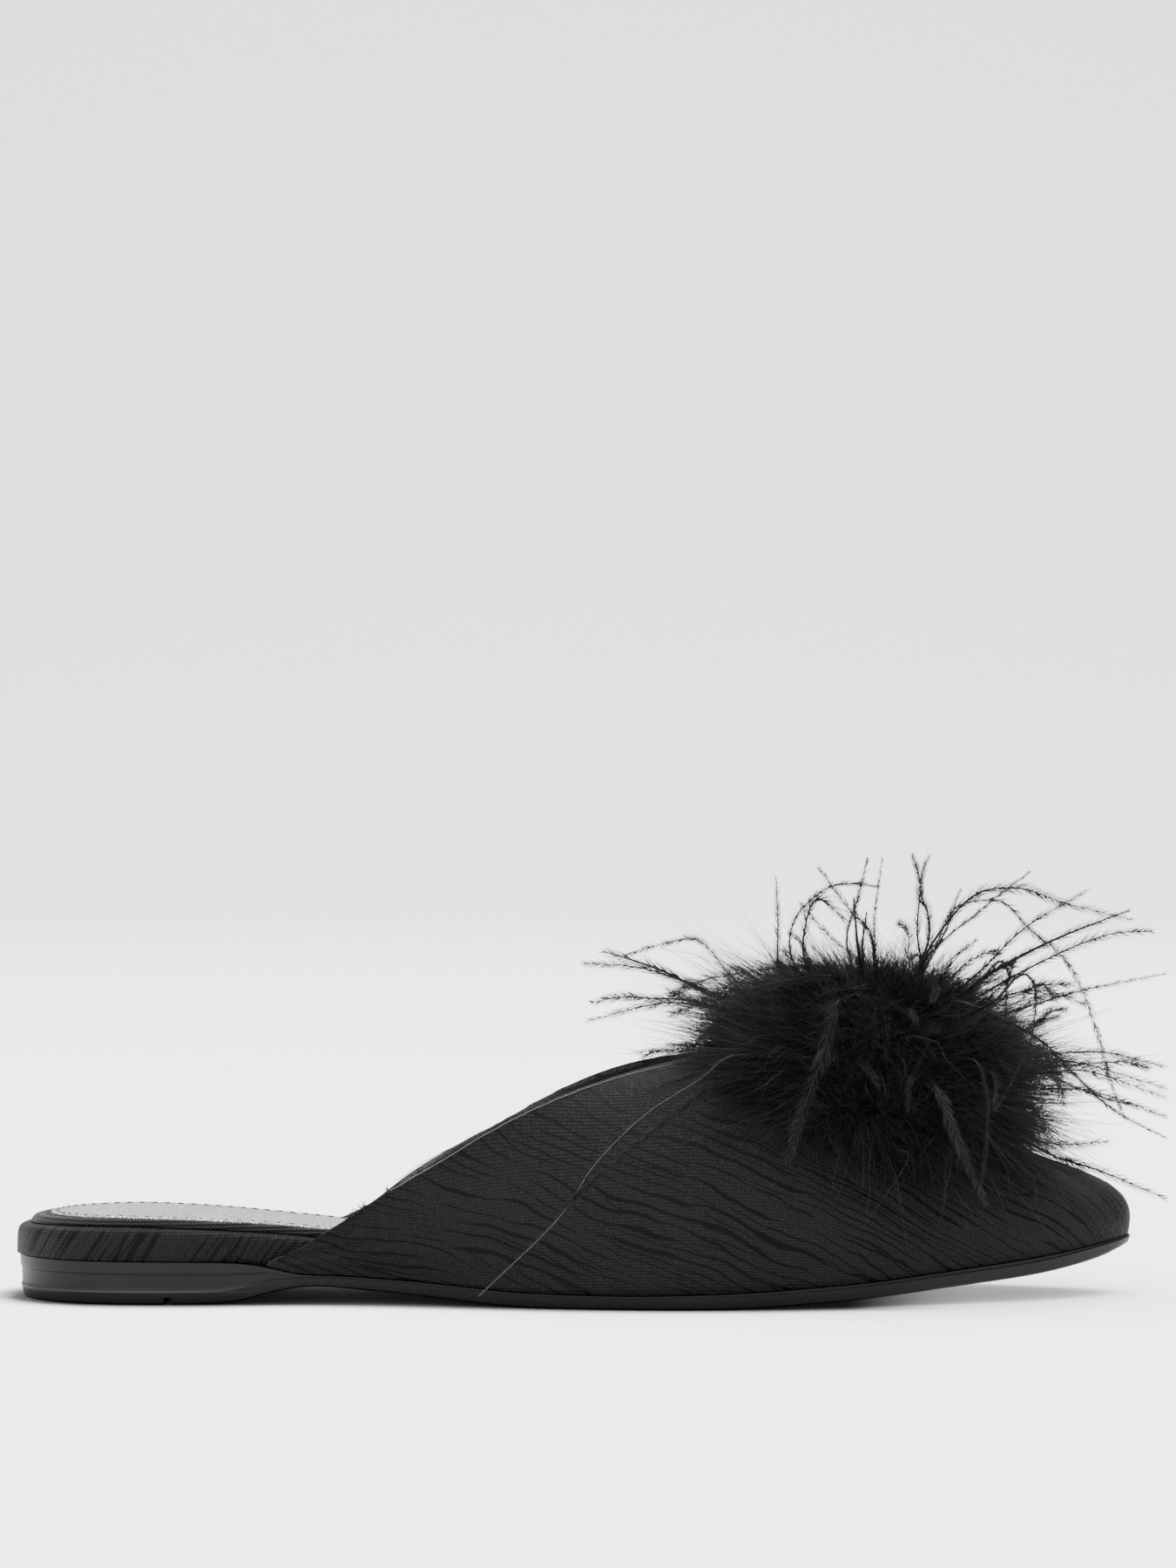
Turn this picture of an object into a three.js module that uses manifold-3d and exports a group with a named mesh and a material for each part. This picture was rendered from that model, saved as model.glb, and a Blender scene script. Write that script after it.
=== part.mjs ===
// Feather mule: a right shoe that stands empty on its sole. Millimetres, toe to +X, inner side of the
// foot to +Y, up is +Z. The origin is the middle of the heel's flat underside.
import * as THREE from 'three';
import { mergeVertices } from 'three/addons/utils/BufferGeometryUtils.js';
import Module from 'manifold-3d';

const wasm = await Module();
wasm.setup();

// Driving sizes
const shoeLength = 270;      // back of the heel to the tip of the toe
const ballWidth = 80;
const heelHeight = 10;       // rubber at the back of the heel
const toeSpring = 12.4;      // underside of the toe tip above the floor
const instepHeight = 58;     // middle of the throat above the floor
const soleThickness = 3.2;
const soleEdgeRound = 1.6;
const stepHeight = 3;        // line where the heel block starts above the thin sole
const stepDepth = 0.5;
const stepShare = 0.85;      // the same line where the sole is thinner, as a share of its thickness
const ledgeShare = 0.08;     // slope of the step's ledge, as a share of what is above it
const bandHeight = 7;        // faint second line round the heel block
const bandDepth = 0.25;
const bandSlope = 0.05;
const heelLean = 1.6;         // how far the back of the heel block has come in at the floor
const notchWidth = 1.85;     // cross notch in the heel's underside
const notchDepth = 1.8;
const notchX = 11;
const heelCentre = 28;       // origin, measured from the back of the heel
const wall = 1.6;            // fabric and lining of the upper
const rand = 0.8;            // sole that stands out past the upper
const gap = 0.3;             // clearance between neighbours
const platformThickness = 8.2;
const boardThickness = 4.8;  // platform under the ball
const platformRound = 2;
const rimWidth = 2;
const rimBackWider = 1.4;    // extra width at the back of the heel, as a share
const rimBackInset = 1;
const rimShoulder = 0.2;     // slope of the rim's sides, as a share of its width
const rimHeight = 1.8;
const sockThickness = 2.1;
const sockRound = 0.9;
const ridgeSlope = 0.39;     // fall of the toe's ridge in front of the pompom
const pompomLength = 82;
const pompomWidth = 74;
const pompomHeight = 52;
const plumeReach = 75;
const plumeThickness = 2.2;
const lockLength = 15;
const lockWidth = 13;
const lockCount = 48;

// Shares of the pompom: how far its middle lies over the vamp, the depth of the core's lumps, the roots
// of locks and plumes on their way out of the middle, and how locks grow, droop and bow
const pompomShape = { lift: 0.22, lump: 0.04, lockRoot: 0.7, plumeRoot: 0.6, lowestRoot: 0.3 };
const lockShape = { shortest: 0.45, grow: 0.2, droop: 0.25, bow: 0.1, below: 0.35 };

// The heel block's back from the floor up, as shares of its lean
const leanShares = { foot: 1, step: 0.8, ledge: 0.7, band: 0.6, top: 0.5 };

// Outline of the sole. at: share of the length from the heel. lateral, medial: shares of the ball width.
const outlineRows = [
  { at: 0.000, lateral: 0.000, medial: 0.000 },
  { at: 0.009, lateral: 0.135, medial: 0.135 },
  { at: 0.027, lateral: 0.229, medial: 0.229 },
  { at: 0.053, lateral: 0.298, medial: 0.296 },
  { at: 0.086, lateral: 0.336, medial: 0.333 },
  { at: 0.126, lateral: 0.348, medial: 0.344 },
  { at: 0.175, lateral: 0.340, medial: 0.333 },
  { at: 0.231, lateral: 0.322, medial: 0.314 },
  { at: 0.285, lateral: 0.310, medial: 0.295 },
  { at: 0.325, lateral: 0.314, medial: 0.288 },
  { at: 0.365, lateral: 0.342, medial: 0.292 },
  { at: 0.415, lateral: 0.399, medial: 0.314 },
  { at: 0.475, lateral: 0.463, medial: 0.357 },
  { at: 0.535, lateral: 0.500, medial: 0.413 },
  { at: 0.580, lateral: 0.512, medial: 0.452 },
  { at: 0.612, lateral: 0.511, medial: 0.472 },
  { at: 0.625, lateral: 0.509, medial: 0.478 },
  { at: 0.710, lateral: 0.464, medial: 0.480 },
  { at: 0.762, lateral: 0.420, medial: 0.454 },
  { at: 0.833, lateral: 0.344, medial: 0.398 },
  { at: 0.895, lateral: 0.258, medial: 0.322 },
  { at: 0.935, lateral: 0.188, medial: 0.270 },
  { at: 0.9660, lateral: 0.112, medial: 0.218 },
  { at: 0.9870, lateral: 0.047, medial: 0.172 },
  { at: 0.9974, lateral: -0.010, medial: 0.115 },
  { at: 1.0000, lateral: -0.062, medial: 0.062 },
];

// Side view of the thin sole. arch: share of the heel height. spring: share of the toe spring.
const soleRows = [
  { at: 0.000, arch: 0.00, spring: 0.00, thick: 0.94 },
  { at: 0.196, arch: 0.00, spring: 0.00, thick: 0.94 },
  { at: 0.213, arch: 0.11, spring: 0.00, thick: 0.92 },
  { at: 0.240, arch: 0.32, spring: 0.00, thick: 0.84 },
  { at: 0.268, arch: 0.43, spring: 0.00, thick: 0.77 },
  { at: 0.307, arch: 0.34, spring: 0.00, thick: 0.90 },
  { at: 0.363, arch: 0.21, spring: 0.00, thick: 1.00 },
  { at: 0.415, arch: 0.08, spring: 0.00, thick: 1.08 },
  { at: 0.455, arch: 0.00, spring: 0.00, thick: 1.06 },
  { at: 0.550, arch: 0.00, spring: 0.00, thick: 0.98 },
  { at: 0.640, arch: 0.00, spring: 0.00, thick: 1.14 },
  { at: 0.707, arch: 0.00, spring: 0.08, thick: 1.18 },
  { at: 0.762, arch: 0.00, spring: 0.17, thick: 1.15 },
  { at: 0.833, arch: 0.00, spring: 0.34, thick: 1.18 },
  { at: 0.904, arch: 0.00, spring: 0.50, thick: 1.22 },
  { at: 0.963, arch: 0.00, spring: 0.74, thick: 1.05 },
  { at: 1.000, arch: 0.00, spring: 1.00, thick: 0.60 },
];

// Top edge of the heel block, as a share of the heel height.
const heelRows = [
  { at: 0.000, top: 1.030 },
  { at: 0.195, top: 0.985 },
  { at: 0.226, top: 0.920 },
  { at: 0.236, top: 0.810 },
  { at: 0.248, top: 0.680 },
  { at: 0.262, top: 0.500 },
  { at: 0.290, top: 0.000 },
];

// Top of the platform. lift: 1 is the full height at the heel, 0 is the height under the ball.
const footbedRows = [
  { at: 0.000, lift: 0.94, spring: 0.00 },
  { at: 0.052, lift: 0.99, spring: 0.00 },
  { at: 0.104, lift: 1.00, spring: 0.00 },
  { at: 0.167, lift: 0.94, spring: 0.00 },
  { at: 0.215, lift: 0.86, spring: 0.00 },
  { at: 0.274, lift: 0.72, spring: 0.00 },
  { at: 0.333, lift: 0.55, spring: 0.00 },
  { at: 0.407, lift: 0.36, spring: 0.00 },
  { at: 0.481, lift: 0.19, spring: 0.00 },
  { at: 0.556, lift: 0.07, spring: 0.00 },
  { at: 0.620, lift: 0.01, spring: 0.01 },
  { at: 0.690, lift: 0.00, spring: 0.07 },
  { at: 0.762, lift: 0.00, spring: 0.18 },
  { at: 0.833, lift: 0.00, spring: 0.34 },
  { at: 0.904, lift: 0.00, spring: 0.52 },
  { at: 1.000, lift: 0.00, spring: 0.84 },
];

// Insets on the platform. tuck: 1 where it lies inside the upper. back: 1 where the rim is widest.
const insetRows = [
  { at: 0.000, tuck: 0.0, back: 1.00 },
  { at: 0.020, tuck: 0.0, back: 0.80 },
  { at: 0.070, tuck: 0.0, back: 0.25 },
  { at: 0.120, tuck: 0.0, back: 0.00 },
  { at: 0.190, tuck: 0.1, back: 0.00 },
  { at: 0.222, tuck: 1.0, back: 0.00 },
  { at: 1.000, tuck: 1.0, back: 0.00 },
];

// Sections of the upper from the feather edge to its top. height: share of the instep height. lean: how
// far the top has come in from the edge to the ridge. rise, bulge: the lower handle, as shares of the
// section's height and of the ball width. reach, drop: the upper handle, as shares of the section's
// half width and height.
const vampRows = [
  { at: 0.231, height: 0.172, lean: 0.00, rise: 0.33, bulge: 0.000, reach: 0.00, drop: 0.33 },
  { at: 0.256, height: 0.218, lean: 0.00, rise: 0.33, bulge: 0.002, reach: 0.00, drop: 0.33 },
  { at: 0.285, height: 0.300, lean: 0.00, rise: 0.33, bulge: 0.005, reach: 0.00, drop: 0.33 },
  { at: 0.325, height: 0.418, lean: 0.00, rise: 0.33, bulge: 0.008, reach: 0.01, drop: 0.33 },
  { at: 0.365, height: 0.525, lean: 0.02, rise: 0.33, bulge: 0.010, reach: 0.03, drop: 0.33 },
  { at: 0.415, height: 0.654, lean: 0.14, rise: 0.34, bulge: 0.012, reach: 0.09, drop: 0.30 },
  { at: 0.475, height: 0.796, lean: 0.37, rise: 0.35, bulge: 0.015, reach: 0.19, drop: 0.22 },
  { at: 0.535, height: 0.914, lean: 0.63, rise: 0.37, bulge: 0.018, reach: 0.33, drop: 0.13 },
  { at: 0.580, height: 0.971, lean: 0.81, rise: 0.39, bulge: 0.021, reach: 0.46, drop: 0.05 },
  { at: 0.604, height: 0.991, lean: 0.90, rise: 0.40, bulge: 0.023, reach: 0.54, drop: 0.02 },
  { at: 0.618, height: 0.999, lean: 0.96, rise: 0.41, bulge: 0.024, reach: 0.59, drop: 0.01 },
  { at: 0.625, height: 1.000, lean: 1.00, rise: 0.41, bulge: 0.024, reach: 0.60, drop: 0.00 },
  { at: 0.650, height: 0.984, lean: 1.00, rise: 0.42, bulge: 0.025, reach: 0.61, drop: 0.00 },
  { at: 0.680, height: 0.942, lean: 1.00, rise: 0.42, bulge: 0.025, reach: 0.62, drop: 0.00 },
  { at: 0.715, height: 0.880, lean: 1.00, rise: 0.42, bulge: 0.025, reach: 0.62, drop: 0.00 },
  { at: 0.762, height: 0.800, lean: 1.00, rise: 0.42, bulge: 0.025, reach: 0.62, drop: 0.00 },
];
const wingAt = 0.231;
const throatAt = 0.625;
const poleAt = 0.762;        // the toe's sections fan out from this station of the ridge
const toe = { rise: 0.51, bulge: 0.080, reach: 0.65 };
const side = vampRows.at(-1);
const ridgeAside = 0.062;    // the tip's way to the inner side, as a share of the ball width

// Long plumes that stand out from the core: the tip's place from the core's middle and the height of
// the bow over the chord, as shares of the reach.
const plumeRows = [
  { ahead: -0.90, aside: -0.20, up: 0.27, bow: 0.06 },
  { ahead: -0.85, aside: 0.10, up: 0.31, bow: 0.04 },
  { ahead: -0.87, aside: -0.34, up: 0.14, bow: 0.05 },
  { ahead: -0.89, aside: 0.30, up: 0.08, bow: 0.10 },
  { ahead: -0.62, aside: -0.50, up: 0.10, bow: 0.16 },
  { ahead: -0.77, aside: 0.46, up: 0.29, bow: 0.18 },
  { ahead: -0.64, aside: -0.62, up: 0.00, bow: 0.08 },
  { ahead: -0.48, aside: 0.72, up: 0.12, bow: 0.14 },
  { ahead: -0.28, aside: -0.25, up: 0.55, bow: 0.02 },
  { ahead: -0.13, aside: 0.18, up: 0.58, bow: 0.02 },
  { ahead: 0.05, aside: -0.12, up: 0.61, bow: 0.00 },
  { ahead: 0.03, aside: 0.40, up: 0.52, bow: 0.06 },
  { ahead: 0.17, aside: 0.10, up: 0.62, bow: 0.00 },
  { ahead: 0.23, aside: -0.35, up: 0.60, bow: 0.02 },
  { ahead: 0.34, aside: 0.30, up: 0.52, bow: 0.04 },
  { ahead: 0.56, aside: -0.15, up: 0.56, bow: 0.06 },
  { ahead: 0.74, aside: 0.16, up: 0.51, bow: 0.05 },
  { ahead: 0.87, aside: -0.22, up: 0.44, bow: 0.05 },
  { ahead: 0.94, aside: 0.10, up: 0.37, bow: 0.06 },
  { ahead: 0.98, aside: -0.08, up: 0.23, bow: 0.05 },
  { ahead: 0.94, aside: 0.34, up: 0.10, bow: 0.08 },
  { ahead: 0.98, aside: -0.30, up: -0.07, bow: 0.08 },
  { ahead: 0.96, aside: 0.20, up: -0.17, bow: 0.14 },
  { ahead: 0.98, aside: -0.42, up: -0.29, bow: 0.16 },
  { ahead: 0.85, aside: 0.50, up: -0.23, bow: 0.42 },
  { ahead: 0.80, aside: -0.56, up: -0.31, bow: 0.12 },
  { ahead: 0.95, aside: -0.36, up: -0.49, bow: 0.14 },
  { ahead: 0.52, aside: -0.70, up: -0.50, bow: 0.14 },
  { ahead: 0.36, aside: -0.76, up: -0.46, bow: 0.12 },
  { ahead: 0.18, aside: -0.78, up: -0.56, bow: 0.14 },
  { ahead: -0.04, aside: -0.76, up: -0.54, bow: 0.14 },
  { ahead: -0.25, aside: -0.74, up: -0.32, bow: 0.14 },
  { ahead: -0.52, aside: -0.78, up: -0.36, bow: 0.10 },
  { ahead: 0.44, aside: 0.78, up: -0.34, bow: 0.14 },
  { ahead: 0.12, aside: 0.80, up: -0.42, bow: 0.14 },
  { ahead: -0.22, aside: 0.80, up: -0.24, bow: 0.14 },
  { ahead: 0.20, aside: 0.76, up: 0.22, bow: 0.06 },
  { ahead: 0.26, aside: -0.76, up: 0.16, bow: 0.06 },
  { ahead: -0.22, aside: -0.72, up: 0.26, bow: 0.06 },
  { ahead: 0.62, aside: 0.62, up: 0.12, bow: 0.08 },
];

const perRow = 2;            // steps along the outline between two rows
const rows = outlineRows.length - 1;
const loopCount = 2 * rows * perRow;
const wingRow = outlineRows.findIndex((row) => row.at === wingAt);
const sectionSteps = 9;
const roundMiddle = 1 - Math.SQRT1_2;   // inset of a quarter round at its middle

// Curve through a column of a table, without overshoot
function smooth(table, column) {
  const slope = table.slice(1).map(
    (row, i) => (row[column] - table[i][column]) / (row.at - table[i].at),
  );
  const tangent = table.map((row, i) => {
    const before = slope[Math.max(i - 1, 0)];
    const after = slope[Math.min(i, slope.length - 1)];
    return before * after > 0 ? (2 * before * after) / (before + after) : 0;
  });
  return (at) => {
    const x = THREE.MathUtils.clamp(at, table[0].at, table.at(-1).at);
    const i = Math.max(table.findIndex((row) => row.at >= x), 1) - 1;
    const width = table[i + 1].at - table[i].at;
    const s = (x - table[i].at) / width;
    const [p, q] = [table[i][column], table[i + 1][column]];
    return p * (1 + 2 * s) * (1 - s) ** 2 + q * s * s * (3 - 2 * s)
      + width * s * (1 - s) * (tangent[i] * (1 - s) - tangent[i + 1] * s);
  };
}

const arch = smooth(soleRows, 'arch');
const spring = smooth(soleRows, 'spring');
const thick = smooth(soleRows, 'thick');
const heelTop = smooth(heelRows, 'top');
const lift = smooth(footbedRows, 'lift');
const bedSpring = smooth(footbedRows, 'spring');
const tuck = smooth(insetRows, 'tuck');
const back = smooth(insetRows, 'back');
const vamp = Object.fromEntries(
  ['height', 'lean', 'rise', 'bulge', 'reach', 'drop'].map((column) => [column, smooth(vampRows, column)]),
);

const share = (x) => (x + heelCentre) / shoeLength;
const soleUnder = (x) => heelHeight * arch(share(x)) + toeSpring * spring(share(x));
const thinTop = (x) => soleUnder(x) + soleThickness * thick(share(x));
const soleTop = (x) => Math.max(thinTop(x), heelHeight * heelTop(share(x)));
const ballTop = soleThickness + boardThickness;
const bedTop = (x) => ballTop + lift(share(x)) * (heelHeight + platformThickness - ballTop)
  + toeSpring * bedSpring(share(x));

// Outline: heel, lateral side, toe, medial side
const outline = new THREE.CatmullRomCurve3(
  [
    ...outlineRows.map((row) => [row.at, -row.lateral]),
    ...outlineRows.slice(1, -1).reverse().map((row) => [row.at, row.medial]),
  ].map(([at, aside]) => new THREE.Vector3(at * shoeLength - heelCentre, aside * ballWidth, 0)),
  true,
  'centripetal',
);

// Point of the outline, moved in by inset
function edge(k, inset) {
  const along = (k % loopCount) / loopCount;
  const t = outline.getTangent(along);
  return outline.getPoint(along).add(new THREE.Vector3(-t.y, t.x, 0).setLength(inset));
}

// Station of point k, the same for the points that face each other across the shoe
const stationX = (k) => (edge(k, 0).x + edge(loopCount - k, 0).x) / 2;
const edgeShare = (k) => share(stationX(k));

// Closed geometry from triangles given as triples of points
function geometryOf(triangles) {
  const flat = triangles.flat().flatMap((p) => [p.x, p.y, p.z]);
  const geometry = new THREE.BufferGeometry();
  geometry.setAttribute('position', new THREE.Float32BufferAttribute(flat, 3));
  return mergeVertices(geometry, 1e-4);
}

const quad = (a, b, c, d) => [[a, b, c], [a, c, d]];
const same = (a, b) => a.distanceToSquared(b) < 1e-8;
const real = ([a, b, c]) => !same(a, b) && !same(b, c) && !same(c, a);

// Rings of points that go round the outline, each with its own inset and height
const ringPoints = (rings) => rings.map(({ inset, z }) => Array.from({ length: loopCount }, (_, k) => {
  const p = edge(k, inset(edgeShare(k)));
  return p.setZ(z(p.x));
}));

// Solid between rings, from the lowest up, with a ladder of cross lines as its bottom and top
function stack(rings) {
  const points = ringPoints(rings);
  const triangles = [];
  for (let r = 0; r + 1 < points.length; r++) {
    for (let k = 0; k < loopCount; k++) {
      const n = (k + 1) % loopCount;
      triangles.push(...quad(points[r][k], points[r][n], points[r + 1][n], points[r + 1][k]));
    }
  }
  const ladder = (ring, turn) => {
    for (let k = 0; k < loopCount / 2; k++) {
      const across = (i) => ring[(loopCount - i) % loopCount];
      const faces = quad(ring[k], across(k), across(k + 1), ring[k + 1]);
      triangles.push(...faces.filter(real).map(([a, b, c]) => (turn ? [a, c, b] : [a, b, c])));
    }
  };
  ladder(points[0], false);
  ladder(points.at(-1), true);
  return geometryOf(triangles);
}

// Band that goes all the way round, with a ring for each corner of its section
function ringBody(rings) {
  const points = ringPoints(rings);
  const triangles = [];
  points.forEach((ring, r) => {
    const next = points[(r + 1) % points.length];
    for (let k = 0; k < loopCount; k++) {
      const n = (k + 1) % loopCount;
      triangles.push(...quad(ring[k], ring[n], next[n], next[k]));
    }
  });
  return geometryOf(triangles);
}

function solidOf(geometry) {
  const plain = geometry.clone();
  plain.deleteAttribute('normal');
  plain.deleteAttribute('uv');
  const merged = mergeVertices(plain, 1e-4);
  return new wasm.Manifold(new wasm.Mesh({
    numProp: 3,
    vertProperties: new Float32Array(merged.attributes.position.array),
    triVerts: new Uint32Array(merged.index.array),
  }));
}

function geometryFrom(solid) {
  const mesh = solid.getMesh();
  const geometry = new THREE.BufferGeometry();
  geometry.setAttribute('position', new THREE.BufferAttribute(mesh.vertProperties, 3));
  geometry.setIndex(new THREE.BufferAttribute(mesh.triVerts, 1));
  return geometry;
}

// Outsole: thin sole, step, heel block and cross notch
function outsoleGeometry() {
  const stepTop = (x) => soleUnder(x) + Math.min(stepHeight, stepShare * (soleTop(x) - soleUnder(x)));
  const above = (x, part) => THREE.MathUtils.lerp(stepTop(x), soleTop(x), part);
  const bandPart = (bandHeight - stepHeight) / (heelHeight - stepHeight);
  const lean = (part, inset) => (at) => inset + heelLean * part * back(at);
  const body = stack([
    { inset: lean(leanShares.foot, soleEdgeRound), z: soleUnder },
    {
      inset: lean(leanShares.foot, roundMiddle * soleEdgeRound),
      z: (x) => soleUnder(x) + roundMiddle * soleEdgeRound,
    },
    { inset: lean(leanShares.step, 0), z: stepTop },
    { inset: lean(leanShares.ledge, stepDepth), z: (x) => above(x, ledgeShare) },
    { inset: lean(leanShares.band, stepDepth), z: (x) => above(x, bandPart) },
    { inset: lean(leanShares.band, stepDepth - bandDepth), z: (x) => above(x, bandPart + bandSlope) },
    { inset: lean(leanShares.top, stepDepth - bandDepth), z: soleTop },
  ]);
  const notch = new THREE.BoxGeometry(notchWidth, 2 * ballWidth, 2 * notchDepth).translate(notchX, 0, 0);
  return geometryFrom(solidOf(body).subtract(solidOf(notch)));
}

const bedInset = (at) => THREE.MathUtils.lerp(gap, rand + wall + gap, tuck(at));
const rimInset = (at) => bedInset(at) + platformRound + gap + rimBackInset * back(at);
const sockInset = (at) => rimInset(at) + rimWidth * (1 + rimBackWider * back(at)) + gap;

function footbedGeometry() {
  return stack([
    { inset: bedInset, z: (x) => soleTop(x) + gap },
    { inset: bedInset, z: (x) => bedTop(x) - platformRound },
    {
      inset: (at) => bedInset(at) + roundMiddle * platformRound,
      z: (x) => bedTop(x) - roundMiddle * platformRound,
    },
    { inset: (at) => bedInset(at) + platformRound, z: bedTop },
  ]);
}

const onBed = (height) => (x) => bedTop(x) + gap + height;

function rimGeometry() {
  const across = (part) => (at) => THREE.MathUtils.lerp(rimInset(at), sockInset(at) - gap, part);
  return ringBody([
    { inset: across(0), z: onBed(0) },
    { inset: across(rimShoulder), z: onBed(rimHeight) },
    { inset: across(1 - rimShoulder), z: onBed(rimHeight) },
    { inset: across(1), z: onBed(0) },
  ]);
}

function insoleGeometry() {
  return stack([
    { inset: (at) => sockInset(at) + roundMiddle * sockRound, z: onBed(0) },
    { inset: sockInset, z: onBed(sockThickness - sockRound) },
    {
      inset: (at) => sockInset(at) + roundMiddle * sockRound,
      z: onBed(sockThickness - roundMiddle * sockRound),
    },
    { inset: (at) => sockInset(at) + sockRound, z: onBed(sockThickness) },
  ]);
}

// Upper
const ridgeY = (x) => ballWidth * ridgeAside * THREE.MathUtils.smoothstep(share(x), throatAt, 1);
const poleX = poleAt * shoeLength - heelCentre;
const throatX = throatAt * shoeLength - heelCentre;
const pole = new THREE.Vector3(poleX, ridgeY(poleX), instepHeight * side.height);

// Section of the upper's outer face above point k of the outline, from the feather edge to its top
function section(k) {
  const foot = edge(k, rand);
  foot.z = soleTop(foot.x) + gap;
  const at = edgeShare(k);
  const atToe = at > poleAt;
  const top = pole.clone();
  if (!atToe) {
    const x = stationX(k);
    top.set(x, THREE.MathUtils.lerp(foot.y, ridgeY(x), vamp.lean(at)), instepHeight * vamp.height(at));
  }
  const tall = top.z - foot.z;
  const outwards = foot.clone().sub(atToe ? pole : new THREE.Vector3(foot.x, ridgeY(foot.x), 0)).setZ(0);
  const halfWidth = outwards.length();
  outwards.normalize();
  const towardsTip = atToe ? outwards.x ** 2 : 0;
  const mix = (column) => (
    atToe ? THREE.MathUtils.lerp(side[column], toe[column], towardsTip) : vamp[column](at)
  );
  const low = foot.clone().addScaledVector(outwards, ballWidth * mix('bulge'));
  low.z += tall * mix('rise');
  const reach = halfWidth * mix('reach');
  const high = top.clone().addScaledVector(outwards, reach);
  high.z -= atToe ? ridgeSlope * outwards.x * reach : tall * vamp.drop(at);
  return new THREE.CubicBezierCurve3(foot, low, high, top).getPoints(sectionSteps);
}

// Outer face of the upper between two points of the outline, with a normal for each of its points
function outerFace(from, to) {
  const columns = Array.from({ length: to - from + 1 }, (_, i) => section(from + i));
  const key = (p) => [p.x, p.y, p.z].map((c) => Math.round(c * 1000)).join();
  const sums = new Map();
  const cells = [];
  for (let i = 0; i + 1 < columns.length; i++) {
    for (let j = 0; j < sectionSteps; j++) {
      const [near, far] = [columns[i], columns[i + 1]];
      cells.push(...quad(near[j], far[j], far[j + 1], near[j + 1]).filter(real));
    }
  }
  for (const [a, b, c] of cells) {
    const n = b.clone().sub(a).cross(c.clone().sub(a));
    for (const p of [a, b, c]) {
      sums.set(key(p), (sums.get(key(p)) ?? new THREE.Vector3()).add(n));
    }
  }
  const moved = (distance) => columns.map((column) => column.map(
    (p) => p.clone().addScaledVector(sums.get(key(p)).clone().normalize(), distance),
  ));
  return { columns, moved };
}

const wingFrom = wingRow * perRow;
const throatRow = outlineRows.findIndex((row) => row.at === throatAt);

// True where the upper has a free top edge between point k and the next
const openAbove = (k) => Math.min(edgeShare(k), edgeShare(k + 1)) < throatAt - 1e-4;

function upperGeometry() {
  const { columns: outer, moved } = outerFace(wingFrom, loopCount - wingFrom);
  const inner = moved(-wall);
  inner.forEach((column, i) => {
    column[0] = edge(wingFrom + i, rand + wall);
    column[0].z = soleTop(column[0].x) + gap;
  });
  const triangles = [];
  const last = outer.length - 1;
  for (let i = 0; i < last; i++) {
    for (let j = 0; j < sectionSteps; j++) {
      triangles.push(...quad(outer[i][j], outer[i + 1][j], outer[i + 1][j + 1], outer[i][j + 1]));
      triangles.push(...quad(inner[i + 1][j], inner[i][j], inner[i][j + 1], inner[i + 1][j + 1]));
    }
    triangles.push(...quad(outer[i + 1][0], outer[i][0], inner[i][0], inner[i + 1][0]));
    if (openAbove(wingFrom + i)) {
      const [a, b] = [outer[i][sectionSteps], outer[i + 1][sectionSteps]];
      triangles.push(...quad(a, b, inner[i + 1][sectionSteps], inner[i][sectionSteps]));
    }
  }
  for (let j = 0; j < sectionSteps; j++) {
    triangles.push(...quad(outer[0][j], outer[0][j + 1], inner[0][j + 1], inner[0][j]));
    triangles.push(...quad(outer[last][j + 1], outer[last][j], inner[last][j], inner[last][j + 1]));
  }
  return geometryOf(triangles.filter(real));
}

// Filled form of the upper in front of point from, swollen by the gap and moved by shift
function filledUpper(from, shift) {
  const columns = outerFace(from, loopCount - from).moved(gap);
  const middle = new THREE.Vector3(throatX, 0, soleTop(throatX));
  const last = columns.length - 1;
  const triangles = [];
  for (let i = 0; i < last; i++) {
    for (let j = 0; j < sectionSteps; j++) {
      triangles.push(...quad(columns[i][j], columns[i + 1][j], columns[i + 1][j + 1], columns[i][j + 1]));
    }
    triangles.push([columns[i + 1][0], columns[i][0], middle]);
    if (openAbove(from + i)) {
      triangles.push([columns[i][sectionSteps], columns[i + 1][sectionSteps], middle]);
    }
  }
  for (let j = 0; j < sectionSteps; j++) {
    triangles.push([columns[0][j], columns[0][j + 1], middle]);
    triangles.push([columns[last][j + 1], columns[last][j], middle]);
  }
  return geometryOf(triangles.filter(real)).translate(shift.x, shift.y, shift.z);
}

// Pointed strand along a curve, thickest at its root
function strand(curve, thickness, sides, steps) {
  const frames = curve.computeFrenetFrames(steps, false);
  const rings = Array.from({ length: steps }, (_, i) => Array.from({ length: sides }, (_, j) => {
    const turn = (2 * Math.PI * j) / sides;
    const radius = (thickness / 2) * (1 - (i / steps) ** 2);
    return curve.getPoint(i / steps)
      .addScaledVector(frames.normals[i], radius * Math.cos(turn))
      .addScaledVector(frames.binormals[i], radius * Math.sin(turn));
  }));
  const triangles = [];
  for (let j = 0; j < sides; j++) {
    const n = (j + 1) % sides;
    triangles.push([rings[0][n], rings[0][j], curve.getPoint(0)]);
    triangles.push([rings.at(-1)[j], rings.at(-1)[n], curve.getPoint(1)]);
    for (let i = 0; i + 1 < steps; i++) {
      triangles.push(...quad(rings[i][j], rings[i][n], rings[i + 1][n], rings[i + 1][j]));
    }
  }
  return geometryOf(triangles);
}

const bowed = (from, to, bow) => {
  const middle = from.clone().lerp(to, 0.5);
  middle.z += 2 * bow;
  return new THREE.QuadraticBezierCurve3(from, middle, to);
};

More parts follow.
